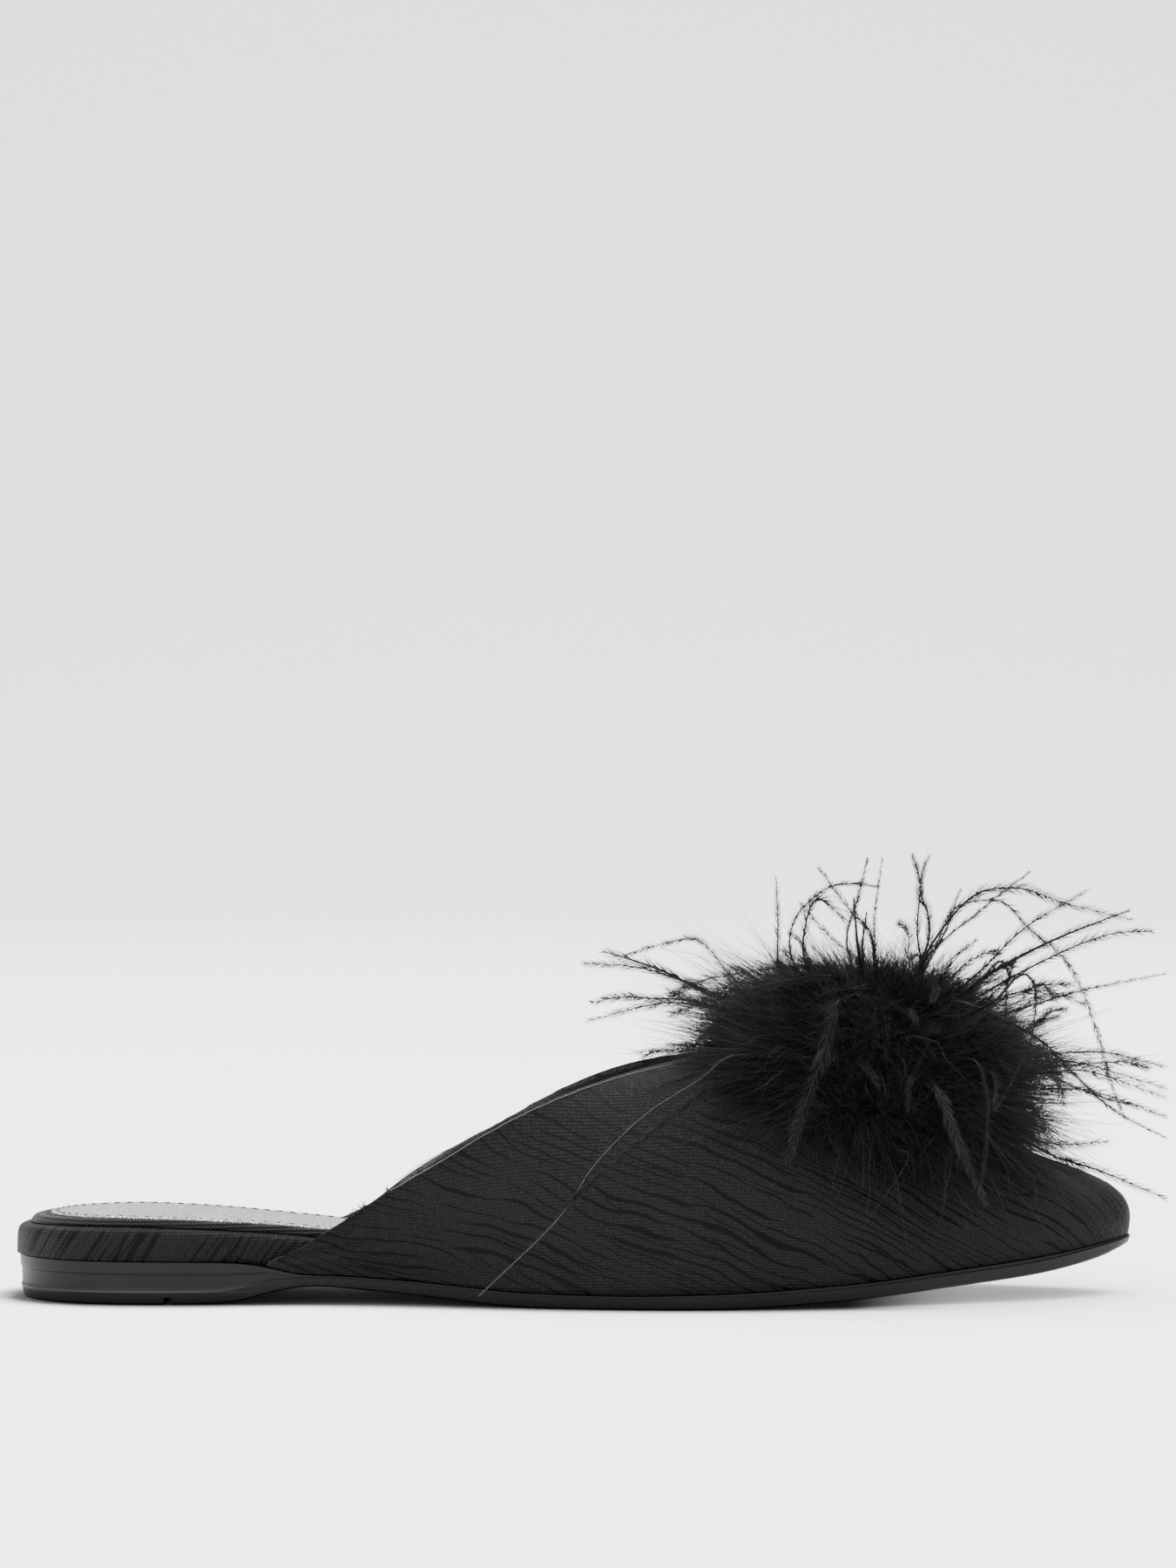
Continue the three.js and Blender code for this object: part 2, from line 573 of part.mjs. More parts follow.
// Pompom: core, locks and long plumes in one solid that rests on the vamp
function pompomGeometry() {
  const half = new THREE.Vector3(pompomLength, pompomWidth, pompomHeight).divideScalar(2);
  const middle = new THREE.Vector3(pole.x, 0, pole.z + pompomShape.lift * pompomHeight);
  const core = new THREE.IcosahedronGeometry(1, 5);
  const p = new THREE.Vector3();
  for (let i = 0; i < core.attributes.position.count; i++) {
    p.fromBufferAttribute(core.attributes.position, i);
    const lump = 1 + pompomShape.lump * Math.sin(7 * p.x + 3 * p.z) * Math.cos(6 * p.y - 2 * p.z);
    p.multiply(half).multiplyScalar(lump).add(middle);
    core.attributes.position.setXYZ(i, p.x, p.y, p.z);
  }
  const strands = [];
  for (let i = 0; i < lockCount; i++) {
    const up = 1 - ((1 + lockShape.below) * (i + 0.5)) / lockCount;
    const turn = i * Math.PI * (3 - Math.sqrt(5));
    const flat = Math.sqrt(1 - up * up);
    const way = new THREE.Vector3(flat * Math.cos(turn), flat * Math.sin(turn), up);
    const long = lockLength * (lockShape.shortest + lockShape.grow * (i % 3));
    const root = way.clone().multiply(half).multiplyScalar(pompomShape.lockRoot).add(middle);
    const tip = way.clone().multiply(half).add(middle).addScaledVector(way, long);
    tip.z -= lockShape.droop * lockLength;
    strands.push(strand(bowed(root, tip, lockShape.bow * lockLength), lockWidth, 5, 3));
  }
  for (const { ahead, aside, up, bow } of plumeRows) {
    const way = new THREE.Vector3(ahead, aside, up).multiplyScalar(plumeReach);
    const root = new THREE.Vector3(ahead, aside, Math.max(up, pompomShape.lowestRoot)).normalize();
    root.multiply(half).multiplyScalar(pompomShape.plumeRoot).add(middle);
    strands.push(strand(bowed(root, way.add(middle), bow * plumeReach), plumeThickness, 3, 5));
  }
  const whole = strands.map(solidOf).reduce((sum, solid) => sum.add(solid), solidOf(core));
  const seat = solidOf(filledUpper(wingFrom, new THREE.Vector3()));
  const back = pompomLength / 3;
  const rise = (back * (instepHeight - pole.z)) / (pole.x - throatX);
  const overThroat = solidOf(filledUpper(throatRow * perRow, new THREE.Vector3(-back, 0, rise + gap)));
  return geometryFrom(whole.subtract(seat.add(overThroat)));
}

const group = new THREE.Group();

function add(name, geometry, material) {
  const mesh = new THREE.Mesh(geometry, new THREE.MeshStandardMaterial(material));
  mesh.name = name;
  group.add(mesh);
}

add('outsole', outsoleGeometry(), { color: 0x3a3a3a, roughness: 0.75, metalness: 0 });
add('footbed', footbedGeometry(), { color: 0x2b2b2a, roughness: 0.6, metalness: 0 });
add('sock_rim', rimGeometry(), { color: 0x2b2b2b, roughness: 0.6, metalness: 0 });
add('insole', insoleGeometry(), { color: 0xc4c0c2, roughness: 0.35, metalness: 0.4 });
add('upper', upperGeometry(), { color: 0x2b2b2a, roughness: 0.6, metalness: 0 });
add('pompom', pompomGeometry(), { color: 0x151515, roughness: 0.9, metalness: 0 });

export default group;
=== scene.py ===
import math
import bmesh
import bpy
import numpy as np
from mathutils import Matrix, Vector
from mathutils.bvhtree import BVHTree


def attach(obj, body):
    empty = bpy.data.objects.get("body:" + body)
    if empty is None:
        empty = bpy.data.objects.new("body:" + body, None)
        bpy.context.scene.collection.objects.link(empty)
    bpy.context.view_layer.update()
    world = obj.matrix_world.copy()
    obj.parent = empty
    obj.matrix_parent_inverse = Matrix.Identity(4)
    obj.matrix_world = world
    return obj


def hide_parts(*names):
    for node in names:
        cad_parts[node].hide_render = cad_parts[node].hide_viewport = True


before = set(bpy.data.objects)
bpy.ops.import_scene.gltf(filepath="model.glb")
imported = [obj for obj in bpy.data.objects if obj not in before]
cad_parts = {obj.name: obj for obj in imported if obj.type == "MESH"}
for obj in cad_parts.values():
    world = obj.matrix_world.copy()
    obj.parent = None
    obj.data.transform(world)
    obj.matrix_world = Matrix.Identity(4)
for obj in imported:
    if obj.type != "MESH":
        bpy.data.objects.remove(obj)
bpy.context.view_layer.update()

mm = 0.001
rng = np.random.default_rng(7)
parts = {}
bpy.ops.object.select_all(action="DESELECT")


# small helpers

def activate(*objs):
    bpy.ops.object.select_all(action="DESELECT")
    for obj in objs:
        obj.select_set(True)
    bpy.context.view_layer.objects.active = objs[-1]


def finishPiece(piece, node=None):
    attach(piece, "root")
    if node:
        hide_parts(node)
    parts[piece.name] = piece
    return piece


nodeMesh = {"merge": 0.001 * mm, "quadAngle": math.radians(50)}


def copyNode(node, name):
    piece = bpy.data.objects.new(name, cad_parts[node].data.copy())
    piece.data.name = name
    piece.data.materials.clear()
    bpy.context.scene.collection.objects.link(piece)
    activate(piece)
    bpy.ops.object.mode_set(mode="EDIT")
    bpy.ops.mesh.select_all(action="SELECT")
    bpy.ops.mesh.remove_doubles(threshold=nodeMesh["merge"])
    angle = nodeMesh["quadAngle"]
    bpy.ops.mesh.tris_convert_to_quads(face_threshold=angle, shape_threshold=angle)
    bpy.ops.object.mode_set(mode="OBJECT")
    return piece


capSlope = 0.945  # a face whose normal is more upright than this belongs to a flat top or underside


def subdivide(piece, levels, keepAngle, keepCaps=False):
    # keepCaps: the rims of flat tops and undersides stay where they are too
    bm = bmesh.new()
    bm.from_mesh(piece.data)
    bm.normal_update()
    crease = bm.edges.layers.float.new("crease_edge")
    for edge in bm.edges:
        flat = sorted(abs(face.normal.z) for face in edge.link_faces)
        cap = keepCaps and flat[0] < capSlope < flat[-1]
        if cap or edge.calc_face_angle(0) > math.radians(keepAngle):
            edge[crease] = 1
    bm.to_mesh(piece.data)
    bm.free()
    activate(piece)
    bpy.ops.object.modifier_add(type="SUBSURF")
    piece.modifiers[-1].levels = levels
    piece.modifiers[-1].render_levels = levels
    bpy.ops.object.modifier_apply(modifier=piece.modifiers[-1].name)
    bpy.ops.object.shade_smooth_by_angle(angle=math.radians(keepAngle))


def points(piece):
    flat = np.zeros(len(piece.data.vertices) * 3)
    piece.data.vertices.foreach_get("co", flat)
    return flat.reshape(-1, 3)


def easeIn(value, low, high):
    t = np.clip((value - low) / (high - low), 0, 1)
    return t * t * (3 - 2 * t)


def setUv(piece, name, uv):
    corners = np.zeros(len(piece.data.loops), int)
    piece.data.loops.foreach_get("vertex_index", corners)
    layer = piece.data.uv_layers.new(name=name)
    layer.data.foreach_set("uv", uv[corners].astype(np.float32).ravel())


def meshPiece(name, verts, faces):
    mesh = bpy.data.meshes.new(name)
    size = faces.shape[1]
    mesh.vertices.add(len(verts))
    mesh.vertices.foreach_set("co", verts.astype(np.float32).ravel())
    mesh.loops.add(faces.size)
    mesh.loops.foreach_set("vertex_index", faces.astype(np.int32).ravel())
    mesh.polygons.add(len(faces))
    mesh.polygons.foreach_set("loop_start", np.arange(0, faces.size, size, dtype=np.int32))
    mesh.polygons.foreach_set("use_smooth", np.ones(len(faces), bool))
    mesh.update(calc_edges=True)
    mesh.validate()
    piece = bpy.data.objects.new(name, mesh)
    bpy.context.scene.collection.objects.link(piece)
    return piece


def addTone(piece, tones):
    layer = piece.data.attributes.new("tone", "FLOAT", "POINT")
    layer.data.foreach_set("value", tones.astype(np.float32).ravel())


crossing = np.array([0.13, 0.21, 0.97])  # a direction that no path runs along


def tubes(name, paths, radii, sides):
    # round strands along many paths of equal length, joined in one mesh, with a tone that rises to the tip
    paths, radii = np.asarray(paths), np.asarray(radii)
    n, k, _ = paths.shape
    along = np.gradient(paths, axis=1)
    along /= np.linalg.norm(along, axis=2, keepdims=True) + 1e-12
    side = np.cross(along, np.broadcast_to(crossing, along.shape))
    side /= np.linalg.norm(side, axis=2, keepdims=True) + 1e-12
    other = np.cross(along, side)
    turn = 2 * np.pi * np.arange(sides) / sides
    ring = paths[:, :, None] + radii[:, :, None, None] * (
        np.cos(turn)[:, None] * side[:, :, None] + np.sin(turn)[:, None] * other[:, :, None])
    verts = ring.reshape(-1, 3)
    i, j, t = np.meshgrid(np.arange(n), np.arange(k - 1), np.arange(sides), indexing="ij")
    at = (i * k + j) * sides
    faces = np.stack([at + t, at + sides + t, at + sides + (t + 1) % sides, at + (t + 1) % sides], -1)
    piece = meshPiece(name, verts, faces.reshape(-1, 4)[:, ::-1])
    addTone(piece, np.tile(np.repeat(np.linspace(0, 1, k), sides), n))
    return piece


def unit(v):
    return v / (np.linalg.norm(v, axis=-1, keepdims=True) + 1e-12)


toneRise = 0.35  # a strip is this much darker at its root and lighter at its tip


def ribbons(name, paths, widths, facing, tone):
    # flat tapered strips, each with its own path, and a tone that rises to its tip
    n, k, _ = paths.shape
    side = unit(np.cross(np.gradient(paths, axis=1), facing[:, None]))
    half = side * widths[:, :, None] / 2
    verts = np.stack([paths - half, paths + half], 2).reshape(-1, 3)
    i, j = np.meshgrid(np.arange(n), np.arange(k - 1), indexing="ij")
    at = ((i * k + j) * 2).ravel()
    piece = meshPiece(name, verts, np.stack([at, at + 1, at + 3, at + 2], -1))
    rise = np.linspace(-toneRise, toneRise, k)
    addTone(piece, np.clip(tone[:, None, None] + rise[None, :, None] * np.ones((1, 1, 2)), 0, 1))
    return piece


class Shader:
    # a principled material with a short way to add and link nodes
    def __init__(self, name):
        self.material = bpy.data.materials.new(name)
        self.material.use_nodes = True
        self.tree = self.material.node_tree
        self.bsdf = self.tree.nodes["Principled BSDF"]

    def add(self, kind, inputs=(), out=0, **settings):
        node = self.tree.nodes.new("ShaderNode" + kind)
        for key, value in settings.items():
            setattr(node, key, value)
        for key, value in dict(inputs).items():
            self.put(node.inputs[key], value)
        return node.outputs[out]

    def put(self, socket, value):
        if isinstance(value, bpy.types.NodeSocket):
            self.tree.links.new(value, socket)
        else:
            socket.default_value = value

    def math(self, operation, *values):
        return self.add("Math", dict(enumerate(values)), operation=operation)

    def ramp(self, factor, low, high):
        return self.add("MapRange", {0: factor, 1: low, 2: high}, interpolation_type="SMOOTHSTEP")

    def mix(self, factor, a, b):
        return self.add("Mix", {0: factor, 6: (*a, 1), 7: (*b, 1)}, out=2, data_type="RGBA")

    def uv(self, name):
        return self.add("UVMap", uv_map=name)

    def place(self):
        return self.add("TexCoord", out=3)

    def bump(self, height, distance, normal=None):
        inputs = {"Height": height, "Distance": distance * mm, "Strength": 1}
        if normal:
            inputs["Normal"] = normal
        return self.add("Bump", inputs)

    def end(self, **sockets):
        for key, value in sockets.items():
            self.put(self.bsdf.inputs[key.replace("_", " ")], value)
        return self.material


# camera, floor and light

view = {"x": 110.4, "distance": 1275, "height": 123.3, "focal": 6055, "middleU": 675, "middleV": 900,
        "tall": 1800, "sensor": 36}
light = {"world": 1.0, "floor": 0.88, "glow": 0.4}
# place, aim, size and power of each lamp
lamps = {
    "top_box": ((0.1, 0.3, 3.5), (0.1, 0.3, 0), (5, 5), 640),
    "front_box": ((-0.4, -1.5, 0.75), (0.08, 0, 0.03), (1.4, 0.8), 24),
    "side_box": ((-1.3, 0.1, 0.6), (0.0, 0, 0.02), (0.9, 0.9), 7),
}
# floor in metres: front edge, where it starts to turn up, radius of the turn, top and half width
sweep = {"front": -30, "back": 3.5, "turn": 2.5, "steps": 25, "top": 9, "half": 9}
# painted contact shadow, the floor's colour darkened next to the sole: how dark, how far, between which
# shares of open sky, and where along x it fades out under the toe
contactShadow = {"dark": 0.02, "reach": 20, "samples": 12, "open": (0.67, 0.84), "fade": (170, 205)}


def makeCamera():
    place = (view["x"] * mm, -view["distance"] * mm, view["height"] * mm)
    bpy.ops.object.camera_add(location=place, rotation=(math.pi / 2, 0, 0))
    camera = bpy.context.object
    camera.data.sensor_fit = "VERTICAL"
    camera.data.sensor_height = view["sensor"]
    camera.data.lens = view["focal"] / view["tall"] * view["sensor"]
    bpy.context.scene.camera = camera


def areaLight(name, place, aim, size, power):
    bpy.ops.object.light_add(type="AREA", location=place)
    lamp = bpy.context.object
    lamp.name = name
    lamp.data.shape = "RECTANGLE"
    lamp.data.size, lamp.data.size_y = size
    lamp.data.energy = power
    lamp.rotation_euler = (Vector(place) - Vector(aim)).to_track_quat("Z", "Y").to_euler()


def makeStudio():
    # floor that sweeps up into a wall behind the shoe
    arc = [(sweep["back"] + sweep["turn"] * math.sin(a), sweep["turn"] * (1 - math.cos(a)))
           for a in np.linspace(0, math.pi / 2, sweep["steps"])]
    profile = [(sweep["front"], 0), *arc, (sweep["back"] + sweep["turn"], sweep["top"])]
    verts = np.array([(side * sweep["half"], y, z) for y, z in profile for side in (-1, 1)])
    at = 2 * np.arange(len(profile) - 1)
    floor = meshPiece("studio_floor", verts, np.stack([at, at + 1, at + 3, at + 2], 1))
    # a little light of its own keeps the shadow soft, and close to the sole a painted contact shadow makes
    # the floor dark
    paint = Shader("pale_floor")
    distance = {"Distance": contactShadow["reach"] * mm}
    near = paint.add("AmbientOcclusion", distance, out=1, samples=contactShadow["samples"])
    x = paint.add("SeparateXYZ", {0: paint.place()})
    fade = paint.ramp(x, *[at * mm for at in contactShadow["fade"]])
    clear = paint.math("MAXIMUM", paint.ramp(near, *contactShadow["open"]), fade)
    tone = paint.mix(clear, (contactShadow["dark"],) * 3, (light["floor"],) * 3)
    floor.data.materials.append(paint.end(Base_Color=tone, Roughness=0.9, Emission_Color=tone,
                                          Emission_Strength=light["glow"]))
    world = bpy.data.worlds.new("studio_world")
    world.use_nodes = True
    world.node_tree.nodes["Background"].inputs[0].default_value = (1, 1, 1, 1)
    world.node_tree.nodes["Background"].inputs[1].default_value = light["world"]
    bpy.context.scene.world = world
    for name, lamp in lamps.items():
        areaLight(name, *lamp)


makeCamera()
makeStudio()
print("camera and studio ready")


# cloth

cloth = {"unit": 10 * mm, "radius": 40 * mm, "rib": 0.055, "ground": (0.0092, 0.0092, 0.0089),
         "figure": (0.0007, 0.0007, 0.0007), "gloss": 0.045}


def grainLines(s, turned, shift, spacing, wander, thick):
    # long wavy lines that swell, thin out and run together, like the grain of wood
    across = s.add("SeparateXYZ", {0: turned}, out=1)
    moved = s.add("Mapping", {0: turned, 1: (shift, shift / 3, shift)})

    def noise(stretch, scale):
        place = s.add("Mapping", {0: moved, 3: stretch})
        return s.add("TexNoise", {"Vector": place, "Scale": scale, "Detail": 1})

    broad = noise((0.2, 0.5, 1), 1.2)
    fine = noise((0.6, 0.8, 1), 2.2)
    swell = noise((0.3, 1.1, 1), 1.5)
    way = s.math("ADD", s.math("MULTIPLY", broad, wander * 6), s.math("MULTIPLY", fine, wander * 0.8))
    saw = s.math("PINGPONG", s.math("ADD", s.math("DIVIDE", across, spacing), way), 0.5)
    width = s.math("SUBTRACT", s.math("MULTIPLY", s.ramp(swell, 0.3, 0.75), thick + 0.04), 0.04)
    return s.ramp(s.math("SUBTRACT", saw, width), 0.035, -0.005)


def jacquard(name, turn, spacing, wander, thick):
    # fine crepe ground with a satin figure of wavy lines
    s = Shader(name)
    uv = s.uv("cloth")
    turned = s.add("Mapping", {0: uv, 2: (0, 0, turn)})
    figure = s.math("MAXIMUM", grainLines(s, turned, 3, spacing, wander, thick),
                    grainLines(s, turned, 11, spacing * 0.62, wander * 1.2, thick * 0.6))
    u = s.add("SeparateXYZ", {0: uv})
    v = u.node.outputs[1]
    loose = s.add("TexNoise", {"Vector": uv, "Scale": 5, "Detail": 2})
    grain = s.math("ADD", s.math("MULTIPLY", u, 2 * math.pi / cloth["rib"]), s.math("MULTIPLY", loose, 16))
    rib = s.math("SINE", s.math("ADD", grain, s.math("MULTIPLY", v, 0.9 / cloth["rib"])))
    pick = s.math("SINE", s.math("MULTIPLY", v, 2 * math.pi / (1.3 * cloth["rib"])))
    crossed = s.math("ADD", rib, s.math("MULTIPLY", pick, 0.6))
    weave = s.math("MULTIPLY", crossed, s.math("SUBTRACT", 1.1, figure))
    tone = s.math("ADD", s.math("MULTIPLY", figure, 0.9), s.math("MULTIPLY", weave, -0.6))
    bump = s.bump(weave, 0.07, s.bump(figure, -0.1))
    return s.end(Base_Color=s.mix(tone, cloth["ground"], cloth["figure"]), Roughness=0.55, Normal=bump,
                 Sheen_Weight=0.02, Sheen_Roughness=0.4, Specular_IOR_Level=cloth["gloss"])


lining = {"grain": 2500, "low": (0.006, 0.0046, 0.0034), "high": (0.02, 0.0145, 0.0105),
          "silver": (0.07, 0.07, 0.072, 1), "silverFrom": (62, 66), "silverTo": (80, 70)}


def liningCloth():
    s = Shader("lining_cloth")
    place = s.place()
    grain = s.add("TexNoise", {"Vector": place, "Scale": lining["grain"], "Detail": 2})
    brown = s.mix(grain, lining["low"], lining["high"])
    # silver near the back end of the wings
    x = s.add("SeparateXYZ", {0: place})
    start, end = [s.ramp(x, *[at * mm for at in lining[key]]) for key in ("silverFrom", "silverTo")]
    silver = s.math("MULTIPLY", s.math("MULTIPLY", start, end), s.ramp(grain, 0.35, 0.6))
    colour = s.add("Mix", {0: silver, 6: brown, 7: lining["silver"]}, out=2, data_type="RGBA")
    return s.end(Base_Color=colour, Roughness=0.75,
                 Normal=s.bump(grain, 0.08), Sheen_Weight=0.05, Specular_IOR_Level=0.2)


# upper: last-shaped wall, folded edge, lining inside

# shifts of the free edge: side, x, reach along x, rise; creases: start and end in x and z, width, depth
upper = {"levels": 2, "keep": 60, "axisY": 2 * mm, "axisZ": 8 * mm, "toeX": 205 * mm,
         "shiftAbove": (9, 26), "shiftAside": (-8, 14), "creaseAside": 8,
         "shifts": [(1, 54, 10, -2.6), (1, 87, 8, -0.3), (1, 106, 13, 0.6), (1, 128, 22, 1.2),
                    (-1, 92, 20, 2.2)],
         "fill": (215, 240, 0.3),
         "creases": [((34, 10.5), (43, 16.5), 1.3, 0.5), ((37, 10.5), (62, 14.5), 1.5, 0.45),
                     ((42, 13.5), (54, 17), 1.4, 0.35), ((60, 9), (92, 7), 3.5, 0.25),
                     ((96, 8), (128, 12), 5, 0.25), ((118, 30), (140, 22), 6, 0.25)]}


def makeUpper():
    piece = copyNode("upper", "upper_cloth")
    subdivide(piece, upper["levels"], upper["keep"])
    co = points(piece)
    normals = np.zeros(len(co) * 3)
    piece.data.vertex_normals.foreach_get("vector", normals)
    normals = normals.reshape(-1, 3)
    push = np.zeros(len(co))
    for start, end, width, depth in upper["creases"]:
        a, b = np.array(start) * mm, np.array(end) * mm
        p = co[:, [0, 2]] - a
        t = np.clip(p @ (b - a) / ((b - a) @ (b - a)), 0, 1)
        away = np.linalg.norm(p - t[:, None] * (b - a), axis=1) / (width * mm)
        push -= depth * mm * np.exp(-away ** 2) * (1 - 1.6 * np.exp(-((away - 1.3) * 2) ** 2))
    push *= np.abs(co[:, 1]) > upper["creaseAside"] * mm
    start, end, more = upper["fill"]
    push += more * mm * easeIn(co[:, 0] / mm, start, end)
    co += normals * push[:, None]
    # the two sides' edges dip and rise on their way to the throat
    high = easeIn(co[:, 2] / mm, *upper["shiftAbove"])
    for side, at, reach, rise in upper["shifts"]:
        aside = easeIn(side * co[:, 1] / mm, *upper["shiftAside"])
        co[:, 2] += rise * mm * high * aside * np.exp(-((co[:, 0] / mm - at) / reach) ** 2)
    piece.data.vertices.foreach_set("co", co.ravel())
    angle = np.arctan2(co[:, 2], co[:, 1] - upper["axisY"])
    setUv(piece, "cloth", np.stack([co[:, 0], angle * cloth["radius"]], 1) / cloth["unit"])
    piece.data.materials.append(jacquard("vamp_jacquard", -0.38, 0.33, 0.8, 0.16))
    piece.data.materials.append(liningCloth())
    for face in piece.data.polygons:
        axis = Vector((min(face.center.x, upper["toeX"]), upper["axisY"], upper["axisZ"]))
        if face.normal.dot(face.center - axis) < 0:
            face.material_index = 1
    return finishPiece(piece, "upper")


upperCloth = makeUpper()


edgeLine = {"from": 62, "to": 139, "step": 1.5, "radius": 0.1, "sides": 6, "out": 0.08,
            "depth": 0.9, "window": 7}


def topline(side, start, end):
    # the upper's free edge along one side, from the back end of the wing to the throat
    co = points(upperCloth) / mm
    co = co[co[:, 1] * side > 1]
    line = []
    for x in np.arange(start, end, edgeLine["step"]):
        near = co[np.abs(co[:, 0] - x) < edgeLine["step"]]
        high = near[near[:, 2] > near[:, 2].max() - edgeLine["depth"]]
        outermost = high[np.argmax(high[:, 1] * side)]
        line.append((x, outermost[1] + side * edgeLine["out"], outermost[2]))
    line = np.array(line)
    window = np.ones(edgeLine["window"]) / edgeLine["window"]
    for k in (1, 2):
        padded = np.pad(line[:, k], edgeLine["window"] // 2, mode="edge")
        line[:, k] = np.convolve(padded, window, mode="valid")
    return line * mm


def makeEdgeLine():
    # thin light edge of the lining that shows along the fold
    paths = np.stack([topline(side, edgeLine["from"], edgeLine["to"]) for side in (-1, 1)])
    radii = np.full(paths.shape[:2], edgeLine["radius"] * mm)
    radii[:, [0, -1]] *= 0.2
    line = tubes("lining_edge", paths, radii, edgeLine["sides"])
    s = Shader("lining_edge")
    line.data.materials.append(s.end(Base_Color=(0.05, 0.05, 0.053, 1), Roughness=0.4))
    finishPiece(line)


# footbed, ribbon rim and insole

heelTurn = {"radius": 27.5 * mm}


def aroundHeel(co):
    # distance along the edge: the outer side, round the back of the heel, then the inner side
    r = heelTurn["radius"]
    angle = np.arctan2(-co[:, 0], -co[:, 1])
    back = -r * angle
    inner = -math.pi * r - co[:, 0]
    outer = co[:, 0]
    return np.where(co[:, 0] > 0, np.where(co[:, 1] < 0, outer, inner), back)


def makeFootbed():
    piece = copyNode("footbed", "bed_wrap")
    subdivide(piece, 2, 60, keepCaps=True)
    co = points(piece)
    setUv(piece, "cloth", np.stack([aroundHeel(co), co[:, 2]], 1) / cloth["unit"])
    piece.data.materials.append(jacquard("wrap_jacquard", -0.95, 0.3, 0.4, 0.25))
    finishPiece(piece, "footbed")


ribbon = {"twill": 75, "rise": 60, "row": 0.085, "low": (0.0008, 0.0008, 0.0008),
          "high": (0.013, 0.013, 0.0133)}


def ribbonCloth():
    s = Shader("rim_ribbon")
    uv = s.uv("cloth")
    along = s.add("SeparateXYZ", {0: uv})
    wobble = s.add("TexNoise", {"Vector": uv, "Scale": 18})
    high = along.node.outputs[1]
    lengthwise = s.math("MULTIPLY", along, ribbon["twill"])
    upwards = s.math("MULTIPLY", high, ribbon["rise"])
    twill = s.math("ADD", lengthwise, upwards)
    cord = s.math("SINE", s.math("ADD", twill, s.math("MULTIPLY", wobble, 3)))
    rows = s.math("SINE", s.math("MULTIPLY", high, 2 * math.pi / ribbon["row"]))
    shade = s.math("MULTIPLY", s.ramp(cord, -0.6, 0.9), s.ramp(rows, -0.9, 0.1))
    return s.end(Base_Color=s.mix(shade, ribbon["low"], ribbon["high"]), Roughness=0.5,
                 Normal=s.bump(cord, 0.12, s.bump(rows, 0.15)), Specular_IOR_Level=0.12)


def makeRim():
    piece = copyNode("sock_rim", "ribbon_rim")
    subdivide(piece, 2, 80)
    co = points(piece)
    setUv(piece, "cloth", np.stack([aroundHeel(co), co[:, 2]], 1) / cloth["unit"])
    piece.data.materials.append(ribbonCloth())
    finishPiece(piece, "sock_rim")


leather = {"cells": 1300, "cloud": 90, "spark": 2600, "pits": 0.45, "low": (0.13, 0.12, 0.125),
           "high": (0.7, 0.675, 0.685), "metal": 0.55, "pipingBright": 1.25}


def silverLeather(name, bright):
    s = Shader(name)
    place = s.place()
    cells = s.add("TexVoronoi", {"Vector": place, "Scale": leather["cells"], "Randomness": 1})
    cloud = s.add("TexNoise", {"Vector": place, "Scale": leather["cloud"], "Detail": 3})
    spark = s.add("TexNoise", {"Vector": place, "Scale": leather["spark"], "Detail": 2, "Roughness": 0.7})
    pits = s.ramp(cells, 0.15, 0.6)
    tone = s.math("ADD", s.math("MULTIPLY", cloud, 0.3), s.math("MULTIPLY", spark, 0.7))
    tone = s.math("SUBTRACT", s.math("ADD", tone, 0.1), s.math("MULTIPLY", pits, leather["pits"]))
    low, high = [tuple(c * bright for c in leather[key]) for key in ("low", "high")]
    return s.end(Base_Color=s.mix(s.ramp(tone, 0.3, 0.7), low, high), Metallic=leather["metal"],
                 Roughness=s.math("ADD", 0.3, s.math("MULTIPLY", spark, 0.25)),
                 Normal=s.bump(s.math("SUBTRACT", 1, cells), 0.16))


sock = {"capAngle": 30, "stitchLong": 2.1, "stitchGap": 1.1, "stitchInset": 1.1, "stitchStep": 0.35,
        "threadRadius": 0.24, "threadRise": 0.3, "threadSink": 0.15, "pipeRadius": 0.4, "pipeStep": 1.5,
        "pipeInset": 0.05, "pipeSink": 0.1}


def capLoop(piece, angle):
    # the edge where the flat top of a piece starts, in order
    bm = bmesh.new()
    bm.from_mesh(piece.data)
    top = {f for f in bm.faces if f.normal.z > math.cos(math.radians(angle))}
    edges = {e for e in bm.edges if len([f for f in e.link_faces if f in top]) == 1}
    start = min(edges, key=lambda e: (e.verts[0].co.x, e.index))
    loop, at, used = [start.verts[0].co.copy()], start.verts[1], {start}
    while True:
        loop.append(at.co.copy())
        onward = [e for e in at.link_edges if e in edges and e not in used]
        if not onward:
            break
        used.add(onward[0])
        at = onward[0].other_vert(at)
    bm.free()
    return np.array(loop)


def evenLoop(loop, step):
    loop = np.vstack([loop, loop[:1]])
    reach = np.concatenate([[0], np.cumsum(np.linalg.norm(np.diff(loop, axis=0), axis=1))])
    count = int(reach[-1] / step)
    at = np.linspace(0, reach[-1], count, endpoint=False)
    return np.stack([np.interp(at, reach, loop[:, k]) for k in range(3)], 1)


